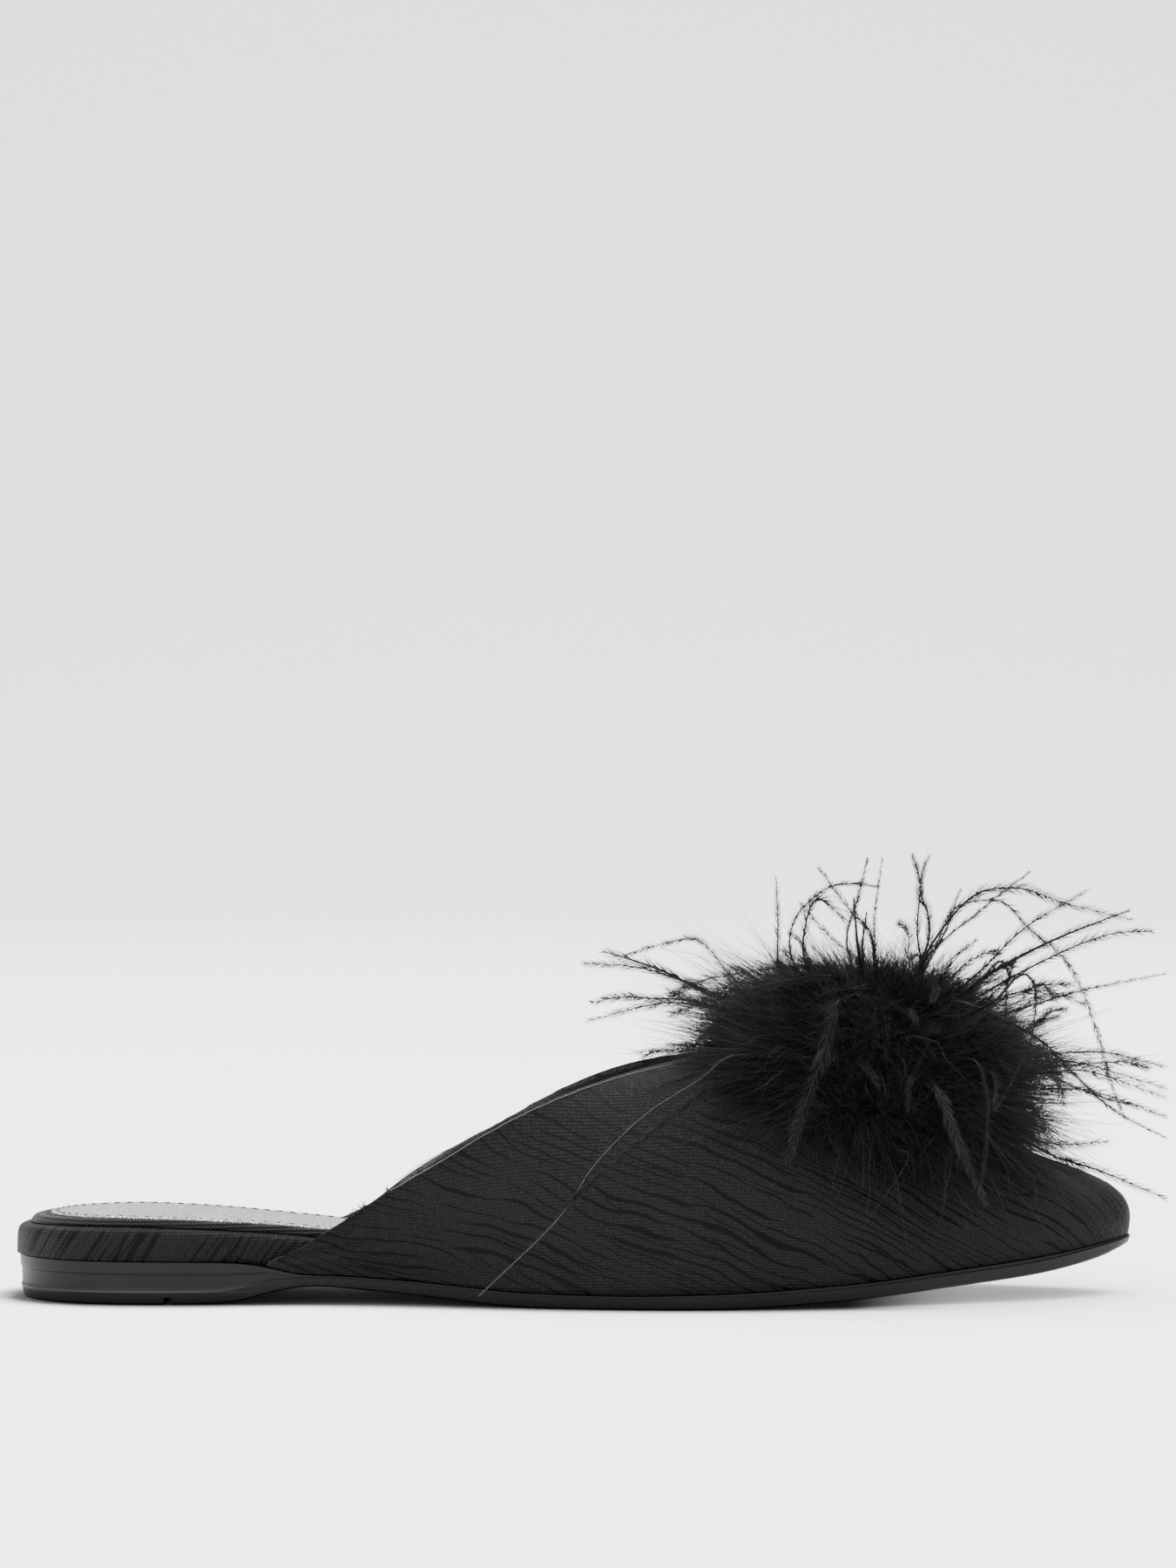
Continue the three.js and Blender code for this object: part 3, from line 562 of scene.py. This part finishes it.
def makeInsole():
    piece = copyNode("insole", "sock_leather")
    loop = capLoop(piece, sock["capAngle"])
    subdivide(piece, 2, 80)
    piece.data.materials.append(silverLeather("silver_leather", 1))
    finishPiece(piece, "insole")
    # light piping on the edge of the leather
    edge = evenLoop(loop, sock["pipeStep"] * mm)
    middle = edge.mean(axis=0)
    inward = np.cross(np.roll(edge, -1, axis=0) - np.roll(edge, 1, axis=0), (0, 0, 1))
    inward /= np.linalg.norm(inward, axis=1, keepdims=True)
    if (inward * (middle - edge)).sum() < 0:
        inward = -inward
    pipe = edge + inward * sock["pipeInset"] * mm - np.array([0, 0, sock["pipeSink"] * mm])
    radii = np.full((1, len(pipe) + 1), sock["pipeRadius"] * mm)
    ring = tubes("sock_piping", np.vstack([pipe, pipe[:1]])[None], radii, 8)
    activate(ring)
    bpy.ops.object.mode_set(mode="EDIT")
    bpy.ops.mesh.select_all(action="SELECT")
    bpy.ops.mesh.remove_doubles(threshold=0.01 * mm)
    bpy.ops.mesh.normals_make_consistent(inside=False)
    bpy.ops.object.mode_set(mode="OBJECT")
    ring.data.materials.append(silverLeather("silver_piping", leather["pipingBright"]))
    finishPiece(ring)
    # black stitches just inside the piping
    line = evenLoop(edge + inward * sock["stitchInset"] * mm, sock["stitchStep"] * mm)
    top = BVHTree.FromObject(piece, bpy.context.evaluated_depsgraph_get())
    line[:, 2] = [top.ray_cast(Vector((x, y, z + 0.01)), Vector((0, 0, -1)))[0].z for x, y, z in line]
    step = round((sock["stitchLong"] + sock["stitchGap"]) / sock["stitchStep"])
    long = round(sock["stitchLong"] / sock["stitchStep"])
    count = len(line) // step
    arch = np.sin(np.linspace(0, np.pi, long + 1))
    reach = np.arange(count)[:, None] * step + np.arange(long + 1)
    paths = line[reach % len(line)]
    paths[:, :, 2] += (sock["threadRise"] * arch - sock["threadSink"]) * mm
    radii = np.tile(sock["threadRadius"] * mm * (0.4 + 0.6 * arch), (count, 1))
    stitches = tubes("sock_stitches", paths, radii, 6)
    thread = Shader("black_thread")
    stitches.data.materials.append(thread.end(Base_Color=(0.01, 0.01, 0.01, 1), Roughness=0.6))
    finishPiece(stitches)


makeFootbed()
makeRim()
makeInsole()
print("footbed, rim and insole dressed")


# outsole

# edges: height of each step's edge and how strong the painted highlight is there
rubber = {"colour": (0.0031, 0.0031, 0.0032), "dust": (0.0074, 0.0074, 0.0077), "breast": (36, 26),
          "edges": ((3.05, 1.0), (7.05, 0.35)), "edgeWidth": 0.16, "highlightGrey": 0.022, "ribs": 2200}


def soleRubber():
    s = Shader("moulded_rubber")
    place = s.place()
    grain = s.add("TexNoise", {"Vector": place, "Scale": 1900, "Detail": 3, "Roughness": 0.65})
    cloud = s.add("TexNoise", {"Vector": place, "Scale": 60, "Detail": 3})
    dusty = s.math("MULTIPLY", s.ramp(grain, 0.45, 0.75), 0.7)
    mixFactor = s.math("ADD", dusty, s.math("MULTIPLY", cloud, 0.3))
    # painted highlight: lighter lines along the rounded edges of the heel's steps, where they would catch
    # the light
    x = s.add("SeparateXYZ", {0: place})
    z = x.node.outputs[2]
    lines = []
    for at, share in rubber["edges"]:
        away = s.math("ABSOLUTE", s.math("SUBTRACT", z, at * mm))
        lines.append(s.math("MULTIPLY", s.ramp(away, rubber["edgeWidth"] * mm, 0), share))
    paintedHighlight = s.math("MULTIPLY", s.math("ADD", *lines), s.ramp(x, *[at * mm for at in rubber["breast"]]))
    down = s.add("SeparateXYZ", {0: s.add("NewGeometry", out=1)}, out=2)
    ribs = s.math("SINE", s.math("MULTIPLY", x, rubber["ribs"]))
    tread = s.math("MULTIPLY", s.ramp(down, -0.9, -0.99), ribs)
    colour = s.mix(mixFactor, rubber["colour"], rubber["dust"])
    # the painted highlight lightens the rubber along the steps' edges
    edged = s.add("Mix", {0: paintedHighlight, 6: colour, 7: (rubber["highlightGrey"],) * 3 + (1,)}, out=2, data_type="RGBA")
    return s.end(Base_Color=edged,
                 Roughness=s.math("ADD", 0.4, s.math("MULTIPLY", grain, 0.2)),
                 Normal=s.bump(tread, 0.3, s.bump(grain, 0.05)), Specular_IOR_Level=0.14)


def makeOutsole():
    piece = copyNode("outsole", "sole_unit")
    subdivide(piece, 2, 25, keepCaps=True)
    piece.data.materials.append(soleRubber())
    finishPiece(piece, "outsole")


# places: x of the middle, length along the edge, count
frayed = {"places": [(55.6, 5, 110), (63, 1, 24)], "long": 1.6, "width": 0.2, "scatter": 0.12, "curl": 0.25}


def makeFrayedThreads():
    # cut threads of the lining that stand out of the edge
    starts = []
    for x, spread, count in frayed["places"]:
        along = rng.uniform(-0.5, 0.5, count) * spread
        near = topline(-1, x - spread, x + spread + 3)
        at = np.stack([np.interp(x + along, near[:, 0] / mm, near[:, k] / mm) for k in range(3)], 1)
        starts.append(at + rng.normal(0, frayed["scatter"], (count, 3)))
    start = np.vstack(starts) * mm
    count = len(start)
    way = unit(rng.normal(0, 0.6, (count, 3)) + [-0.5, 0.1, 0.75]) * rng.uniform(0.4, 1, (count, 1))
    t = np.array([0, 0.5, 1])[None, :, None]
    curl = rng.normal(0, frayed["curl"], (count, 1, 3))
    paths = start[:, None] + (way[:, None] * t + curl * t * t) * frayed["long"] * mm
    widths = np.tile(frayed["width"] * mm * np.array([1, 0.8, 0.3]), (count, 1))
    facing = unit(rng.normal(0, 1, (count, 3)))
    threads = ribbons("frayed_threads", paths, widths, facing, np.full(count, 0.2))
    look = Shader("cut_thread")
    threads.data.materials.append(look.end(Base_Color=(0.003, 0.003, 0.003, 1), Roughness=0.7))
    finishPiece(threads)


makeOutsole()
makeEdgeLine()
makeFrayedThreads()
print("outsole and folded edge dressed")


# pompom

# below: how much deeper the lower half is; farthest: longest reach as a share of the half size
# lowest, plumeLowest and floorGap: heights above the floor that tufts, plumes and single hairs keep
pompom = {"middle": (180.5, 0, 57), "half": (39, 36, 24.5), "below": 1.2, "tilt": -0.09,
          "farthest": 1.35, "lowest": 24, "plumeLowest": 5, "widest": 67, "floorGap": 1.5,
          "core": 0.7, "coreClear": 0.6, "hairClear": 0.3, "tufts": 1250, "pieces": 5,
          "root": (0.4, 0.72), "lean": 0.22, "away": (-0.05, 0.35), "sag": 1.6, "sink": 0.8}
downHairs = {"count": 80, "width": 0.162, "taper": (1, 0.9, 0.6, 0.1), "at": (0, 0.4, 0.75, 1.0),
             "scatter": 1.0, "spread": 0.2, "long": (0.55, 1), "curl": 0.9}
skin = BVHTree.FromObject(upperCloth, bpy.context.evaluated_depsgraph_get())
vamp = {"top": 60 * mm, "throatX": 141 * mm, "outside": 150 * mm}


def offVamp(p, clear):
    # moves points that lie in the vamp out through its outer face
    out = p.copy()
    flat = out.reshape(-1, 3)
    axis = Vector((0, upper["axisY"], upper["axisZ"]))
    for i in np.nonzero(flat[:, 2] < vamp["top"])[0]:
        here = Vector(flat[i])
        axis.x = min(max(here.x, vamp["throatX"]), upper["toeX"])
        way = here - axis
        ray = way.normalized()
        hit = skin.ray_cast(axis + ray * vamp["outside"], -ray, vamp["outside"])[0]
        if hit and (hit - axis).length + clear > way.length:
            flat[i] = hit + ray * clear
    return out


def keepIn(p):
    # no hair goes below the floor or out farther than the longest plumes
    out = p.copy()
    out[..., 1] = np.clip(out[..., 1], -pompom["widest"] * mm, pompom["widest"] * mm)
    out[..., 2] = np.maximum(out[..., 2], pompom["floorGap"] * mm)
    return out


def featherMaterial(name, dark, light, rough):
    s = Shader(name)
    tone = s.add("Attribute", out=2, attribute_name="tone")
    return s.end(Base_Color=s.mix(tone, dark, light), Roughness=rough, Specular_IOR_Level=0.12)


downMaterial = featherMaterial("black_down", (0.0033, 0.0031, 0.0029), (0.02, 0.018, 0.0168), 0.6)


def tilted(p):
    # the pompom is higher towards the throat than towards the toe
    out = p.copy()
    out[..., 2] += out[..., 0] * pompom["tilt"]
    return out


def makeDown():
    middle, half = np.array(pompom["middle"]) * mm, np.array(pompom["half"]) * mm
    bpy.ops.mesh.primitive_ico_sphere_add(subdivisions=5, radius=1, location=(0, 0, 0))
    core = bpy.context.object
    core.name = core.data.name = "down_core"
    shape = points(core)
    shape[:, 2] *= np.where(shape[:, 2] < 0, pompom["below"], 1)
    shape = tilted(shape * half * pompom["core"]) + middle
    core.data.vertices.foreach_set("co", offVamp(shape, pompom["coreClear"] * mm).ravel())
    core.data.update()
    core.data.materials.append(downMaterial)
    finishPiece(core, "pompom")
    tufts = pompom["tufts"] // 1
    up = rng.uniform(-0.95, 1, tufts)
    turn = rng.uniform(0, 2 * np.pi, tufts)
    flat = np.sqrt(1 - up ** 2)
    out = np.stack([flat * np.cos(turn), flat * np.sin(turn), up], 1)
    half = half * np.stack([np.ones(tufts), np.ones(tufts), np.where(up < 0, pompom["below"], 1)], 1)
    root = tilted(out * half * rng.uniform(*pompom["root"], (tufts, 1))) + middle
    away = unit(out * [1, 1, 0] + [0, 0, -0.4])
    lean = out + rng.normal(0, pompom["lean"], (tufts, 3))
    lean = unit(lean + away * rng.uniform(*pompom["away"], (tufts, 1)))
    reach = 0.93 + 0.16 * rng.exponential(0.6, tufts) + 0.06 * rng.normal(0, 1, tufts)
    # a few tufts reach farther, mostly those low at the front and those at the back
    ahead = easeIn(out[:, 0], 0.3, 0.8) * easeIn(-out[:, 2], -0.35, 0.1)
    behind = easeIn(-out[:, 0], 0.4, 0.9)
    far = (rng.uniform(0, 1, tufts) < 0.3) * rng.exponential(0.25, tufts)
    reach += far * np.maximum(ahead, 0.7 * behind)
    reach += 0.04 * behind - 0.05 * easeIn(out[:, 0], 0.3, 0.8)
    reach += 0.28 * easeIn(out[:, 0], 0.15, 0.75) * easeIn(-out[:, 2], 0.1, 0.55)
    tip = tilted(lean * half * np.minimum(reach, pompom["farthest"])[:, None]) + middle
    tip[:, 2] = np.maximum(tip[:, 2], pompom["lowest"] * mm)
    sag = rng.normal(0, pompom["sag"] * mm, (tufts, 3)) - [0, 0, pompom["sink"] * mm]
    tone = rng.uniform(0, 1, tufts) ** 1.6 * 0.85
    group = np.array_split(np.arange(tufts), pompom["pieces"])
    t = np.array(downHairs["at"])[None, :, None]
    for index, members in enumerate(group):
        pick = np.repeat(members, downHairs["count"])
        m = len(pick)
        start = root[pick] + rng.normal(0, downHairs["scatter"] * mm, (m, 3))
        spread = np.linalg.norm(tip - root, axis=1)[pick, None]
        end = tip[pick] + rng.normal(0, downHairs["spread"], (m, 3)) * spread
        long = rng.uniform(*downHairs["long"], (m, 1)) + 0.22 * rng.exponential(0.45, (m, 1))
        end = start + (end - start) * long
        curl = sag[pick] + rng.normal(0, downHairs["curl"] * mm, (m, 3))
        path = start[:, None] * (1 - t) + end[:, None] * t + curl[:, None] * 4 * t * (1 - t)
        path = keepIn(offVamp(path, pompom["hairClear"] * mm))
        width = downHairs["width"] * mm * np.array([downHairs["taper"]]) * rng.uniform(0.6, 1.2, (m, 1))
        piece = ribbons(f"down_{index + 1}", path, width, unit(rng.normal(0, 1, (m, 3))), tone[pick])
        piece.data.materials.append(downMaterial)
        finishPiece(piece)


makeDown()
print("down made")


# long plumes, each along points read off the photograph, from root to tip
# y: depth of root and tip in mm, barb: longest barb in mm, shaft: thickness at the root in mm

plumes = [
    dict(path=[(820, 1140), (740, 1112), (671, 1106)], y=(-8, -18), barb=4, shaft=0.5),
    dict(path=[(816, 1142), (755, 1112), (692, 1092)], y=(5, 12), barb=5, shaft=0.9),
    dict(path=[(800, 1150), (747, 1146), (712, 1145), (679, 1151)], y=(-14, -30), barb=4, shaft=0.5),
    dict(path=[(830, 1160), (775, 1151), (736, 1156), (674, 1172)], y=(10, 28), barb=4, shaft=0.5),
    dict(path=[(950, 1120), (830, 1143), (770, 1164)], y=(-30, -42), barb=5, shaft=0.5),
    dict(path=[(846, 1127), (803, 1080), (760, 1084), (715, 1098)], y=(8, 34), barb=3, shaft=0.3),
    dict(path=[(815, 1200), (764, 1199)], y=(-22, -46), barb=3, shaft=0.4),
    dict(path=[(815, 1205), (725, 1208)], y=(24, 50), barb=3, shaft=0.3),
    dict(path=[(897, 1114), (893, 1060), (891, 1008)], y=(-10, -16), barb=2.5, shaft=0.45),
    dict(path=[(909, 1101), (914, 1052), (953, 1018), (985, 1015), (1008, 1018)],
         y=(4, 16), barb=2.5, shaft=0.4),
    dict(path=[(923, 1101), (929, 1045), (944, 1033), (970, 1056)], y=(-16, -20), barb=4, shaft=0.5),
    dict(path=[(1000, 1073), (974, 1043), (940, 996)], y=(0, 4), barb=3.5, shaft=0.5),
    dict(path=[(972, 1078), (985, 1030), (996, 985)], y=(12, 24), barb=2.5, shaft=0.45),
    dict(path=[(985, 1088), (980, 1030)], y=(-12, -18), barb=2, shaft=0.9),
    dict(path=[(990, 1090), (995, 1047)], y=(-4, -2), barb=2, shaft=0.8),
    dict(path=[(1006, 1118), (1004, 1053), (1013, 985)], y=(-20, -34), barb=2, shaft=0.35),
    dict(path=[(1059, 1122), (1053, 1072), (1056, 1014), (1047, 982)], y=(-8, -10), barb=3.5, shaft=0.6),
    dict(path=[(1065, 1083), (1065, 1049), (1056, 1019), (1066, 982)], y=(8, 14), barb=3.5, shaft=0.6),
    dict(path=[(1072, 1090), (1103, 1021)], y=(14, 26), barb=3, shaft=0.4),
    dict(path=[(1067, 1095), (1127, 1044), (1182, 1001)], y=(-14, -26), barb=2.5, shaft=0.45),
    dict(path=[(1072, 1080), (1118, 1028), (1171, 1020), (1217, 1035), (1299, 1056)],
         y=(6, 20), barb=4.5, shaft=0.5),
    dict(path=[(1085, 1070), (1100, 1040), (1150, 1035), (1182, 1067), (1219, 1097), (1242, 1136),
               (1260, 1187), (1274, 1239), (1290, 1281)],
         y=(-6, -30), barb=3, shaft=0.3),
    dict(path=[(1127, 1113), (1177, 1065), (1250, 1021)], y=(0, -8), barb=3.5, shaft=0.5),
    dict(path=[(1141, 1115), (1210, 1079), (1296, 1045)], y=(-12, -22), barb=4, shaft=1.0),
    dict(path=[(1152, 1127), (1221, 1092), (1272, 1073), (1322, 1069)], y=(10, 18), barb=4, shaft=0.5),
    dict(path=[(1191, 1152), (1246, 1136), (1338, 1118)], y=(-4, -12), barb=2.5, shaft=0.45),
    dict(path=[(1140, 1150), (1171, 1119), (1187, 1129), (1189, 1152), (1180, 1203), (1143, 1276)],
         y=(-34, -44), barb=2, shaft=0.5),
    dict(path=[(1100, 1150), (1187, 1189), (1233, 1233), (1278, 1274), (1338, 1306)],
         y=(-28, -40), barb=2.5, shaft=0.6),
    dict(path=[(1182, 1212), (1265, 1208), (1338, 1225)], y=(0, 14), barb=4, shaft=0.5),
    dict(path=[(1187, 1226), (1285, 1219), (1319, 1227)], y=(-12, -20), barb=4, shaft=0.5),
    dict(path=[(1185, 1225), (1233, 1219), (1338, 1249)], y=(14, 30), barb=5, shaft=0.6),
    dict(path=[(1185, 1232), (1250, 1230), (1338, 1260)], y=(-18, -34), barb=5, shaft=0.5),
    dict(path=[(1195, 1249), (1255, 1253), (1338, 1282)], y=(4, 22), barb=4.5, shaft=0.5),
    dict(path=[(1198, 1311), (1272, 1311)], y=(-10, -22), barb=4, shaft=0.4),
    dict(path=[(1205, 1325), (1265, 1345), (1338, 1376)], y=(6, -6), barb=4, shaft=0.6),
    dict(path=[(962, 1150), (945, 1210), (920, 1280), (905, 1332)],
         y=(-38, -45), barb=5, shaft=0.6, dense=0.75, broad=True),
    dict(path=[(1075, 1249), (1095, 1300), (1132, 1382)],
         y=(-44, -47), barb=4, shaft=0.8, dense=0.8, blue=True),
    dict(path=[(1119, 1218), (1133, 1257), (1133, 1310), (1126, 1364)],
         y=(-42, -46), barb=1.9, shaft=0.5, dense=0.9),
    dict(path=[(1026, 1316), (1042, 1332), (987, 1414)], y=(-42, -45), barb=0.5, shaft=0.28),
    dict(path=[(1084, 1353), (1082, 1390), (1071, 1425)], y=(-41, -43), barb=0.5, shaft=0.28),
    dict(path=[(1180, 1346), (1190, 1380), (1198, 1414)], y=(-34, -33), barb=0.5, shaft=0.28),
    dict(path=[(840, 1212), (803, 1239), (740, 1280), (682, 1338), (640, 1400), (550, 1489)],
         y=(-36, -56), barb=2.5, shaft=0.35, light=True),
    dict(path=[(830, 1240), (778, 1276), (700, 1340), (650, 1385)], y=(-38, -52), barb=4, shaft=0.35),
    dict(path=[(1040, 1190), (1074, 1196), (1090, 1221), (1134, 1262)], y=(-40, -44), barb=0.5, shaft=0.28),
    dict(path=[(1050, 1230), (1044, 1246), (1042, 1275)], y=(-42, -44), barb=2, shaft=0.4, dense=2),
]


def fromPhoto(u, v, y):
    scale = (view["distance"] + y) / view["focal"]
    return [view["x"] + (u - view["middleU"]) * scale, y, view["height"] - (v - view["middleV"]) * scale]


def smoothPath(control, count):
    p = np.vstack([2 * control[0] - control[1], control, 2 * control[-1] - control[-2]])
    segments = len(control) - 1
    at = np.linspace(0, segments - 1e-6, count)
    i, t = at.astype(int), (at % 1)[:, None]
    a, b, c, d = p[i], p[i + 1], p[i + 2], p[i + 3]
    bend, twist = 2 * a - 5 * b + 4 * c - d, 3 * b - a - 3 * c + d
    return 0.5 * (2 * b + (c - a) * t + bend * t ** 2 + twist * t ** 3)


plumeRoot = 0.62  # a plume starts this share of the way from the pompom's middle to its first point
plumePoints = 40
farScatter = 3  # mm at the tip, for the plumes repeated on the far side


def plumePath(row, mirror=False):
    flat = row["path"]
    depth = np.linspace(row["y"][0], row["y"][1], len(flat))
    control = np.array([fromPhoto(u, v, y) for (u, v), y in zip(flat, depth)])
    if mirror:
        control[:, 1] *= -1
        control += rng.normal(0, farScatter, control.shape) * np.linspace(0, 1, len(flat))[:, None]
    control[:, 2] = np.maximum(control[:, 2], pompom["plumeLowest"])
    middle = np.array(pompom["middle"], float)
    start = middle + (control[0] - middle) * plumeRoot
    return smoothPath(np.vstack([start, control]) * mm, plumePoints)


barbs = {"perMm": 12, "from": 0.04, "long": 0.78, "vary": (0.65, 1.1), "lean": (0.4, 0.85), "bend": 0.35,
         "width": 0.11, "taper": (1, 0.7, 0.15)}


def plumeBarbs(path, row):
    longest = row["barb"] * barbs["long"] * mm
    reach = np.linalg.norm(np.diff(path, axis=0), axis=1).sum()
    count = int(reach / mm * barbs["perMm"] * row.get("dense", 1))
    at = np.sort(rng.uniform(barbs["from"], 1, count)) * (len(path) - 1.001)
    i, t = at.astype(int), (at % 1)[:, None]
    root = path[i] * (1 - t) + path[i + 1] * t
    along = unit(path[i + 1] - path[i])
    side = unit(np.cross(along, unit(rng.normal(0, 0.35, (count, 3)) + [0, -1, 0])))
    side *= np.where(rng.uniform(0, 1, count) < 0.5, -1, 1)[:, None]
    taper = np.clip(np.sin(np.pi * np.clip(at / len(path), 0.02, 0.98)) ** 0.4, 0.35, 1)
    long = longest * taper * rng.uniform(*barbs["vary"], count)
    lean = rng.uniform(*barbs["lean"], count)[:, None]
    way = unit(along + side * lean)
    s = np.array([0, 0.5, 1.0])
    bend = way[:, None] * s[:, None] + along[:, None] * (s ** 2)[:, None] * barbs["bend"]
    paths = keepIn(root[:, None] + long[:, None, None] * bend)
    widths = np.tile(barbs["width"] * mm * np.array(barbs["taper"]), (count, 1))
    return paths, widths


wisps = {"count": 46, "barb": (2, 5), "shaft": (0.18, 0.32), "long": (7, 21), "clear": 1.5}


def wispRows():
    # slighter plumes all round the pompom, most of them forwards and upwards
    made = []
    middle, half = np.array(pompom["middle"]) * mm, np.array(pompom["half"]) * mm
    for i in range(wisps["count"]):
        turn = rng.normal(0, 1.1) if i % 3 else rng.uniform(0, 2 * np.pi)
        rise = rng.uniform(-0.15, 1.1)
        out = np.array([math.cos(turn) * math.cos(rise), math.sin(turn) * math.cos(rise), math.sin(rise)])
        root, edge = middle + out * half * 0.6, middle + out * half
        long = rng.uniform(*wisps["long"]) * mm
        away = unit(out + rng.normal(0, 0.25, 3))
        drop = np.array([0, 0, -1]) * rng.uniform(0, 0.5) + rng.normal(0, 0.15, 3)
        path = np.array([root, edge, edge + away * long * 0.55, edge + away * long + drop * long * 0.6])
        row = {"barb": rng.uniform(*wisps["barb"]), "shaft": rng.uniform(*wisps["shaft"])}
        made.append((row, offVamp(smoothPath(path, plumePoints), wisps["clear"] * mm)))
    return made


# dark and light colour, roughness
plumeLooks = {
    "plume_shafts": ((0.0015, 0.0013, 0.0012), (0.006, 0.0047, 0.004), 0.45),
    "broad_plume_barbs": ((0.0022, 0.002, 0.0019), (0.017, 0.0152, 0.0148), 0.5),
    "plume_barbs": ((0.0015, 0.0013, 0.0012), (0.0075, 0.006, 0.0052), 0.55),
    "blue_plume_barbs": ((0.0032, 0.0034, 0.004), (0.021, 0.022, 0.026), 0.5),
    "light_shaft": ((0.0015, 0.0013, 0.0012), (0.085, 0.083, 0.08), 0.35),
}


shafts = {"thick": 0.62, "tip": 0.22, "sides": 5}


def barbsOf(row):
    return "blue_plume_barbs" if "blue" in row else "broad_plume_barbs" if "broad" in row else "plume_barbs"


def makePlumes():
    near = [(row, plumePath(row)) for row in plumes] + wispRows()
    hanging = [row for row in plumes if row["y"][0] < -27]
    far = [(row, plumePath(row, True)) for row in hanging]
    looks = {name: featherMaterial(name.replace("plume_", ""), *look) for name, look in plumeLooks.items()}
    for name, light in (("plume_shafts", False), ("light_shaft", True)):
        rows = [(row, path) for row, path in near + far if row.get("light", False) == light]
        paths = np.stack([path for _, path in rows])
        thin = shafts["thick"] * mm * np.linspace(1, shafts["tip"], plumePoints)
        piece = tubes(name, paths, np.stack([row["shaft"] * thin for row, _ in rows]), shafts["sides"])
        piece.data.materials.append(looks[name])
        finishPiece(piece)
    for name in ("plume_barbs", "broad_plume_barbs", "blue_plume_barbs"):
        sets = [plumeBarbs(path, row) for row, path in near + far if barbsOf(row) == name]
        paths, widths = (np.concatenate([one[k] for one in sets]) for k in (0, 1))
        facing = unit(rng.normal(0, 1, (len(paths), 3)))
        piece = ribbons(name, paths, widths, facing, rng.uniform(0, 0.9, len(paths)))
        piece.data.materials.append(looks[name])
        finishPiece(piece)


makePlumes()
print("plumes made")

for name, piece in parts.items():
    print(name, sum(len(face.vertices) - 2 for face in piece.data.polygons), "triangles")
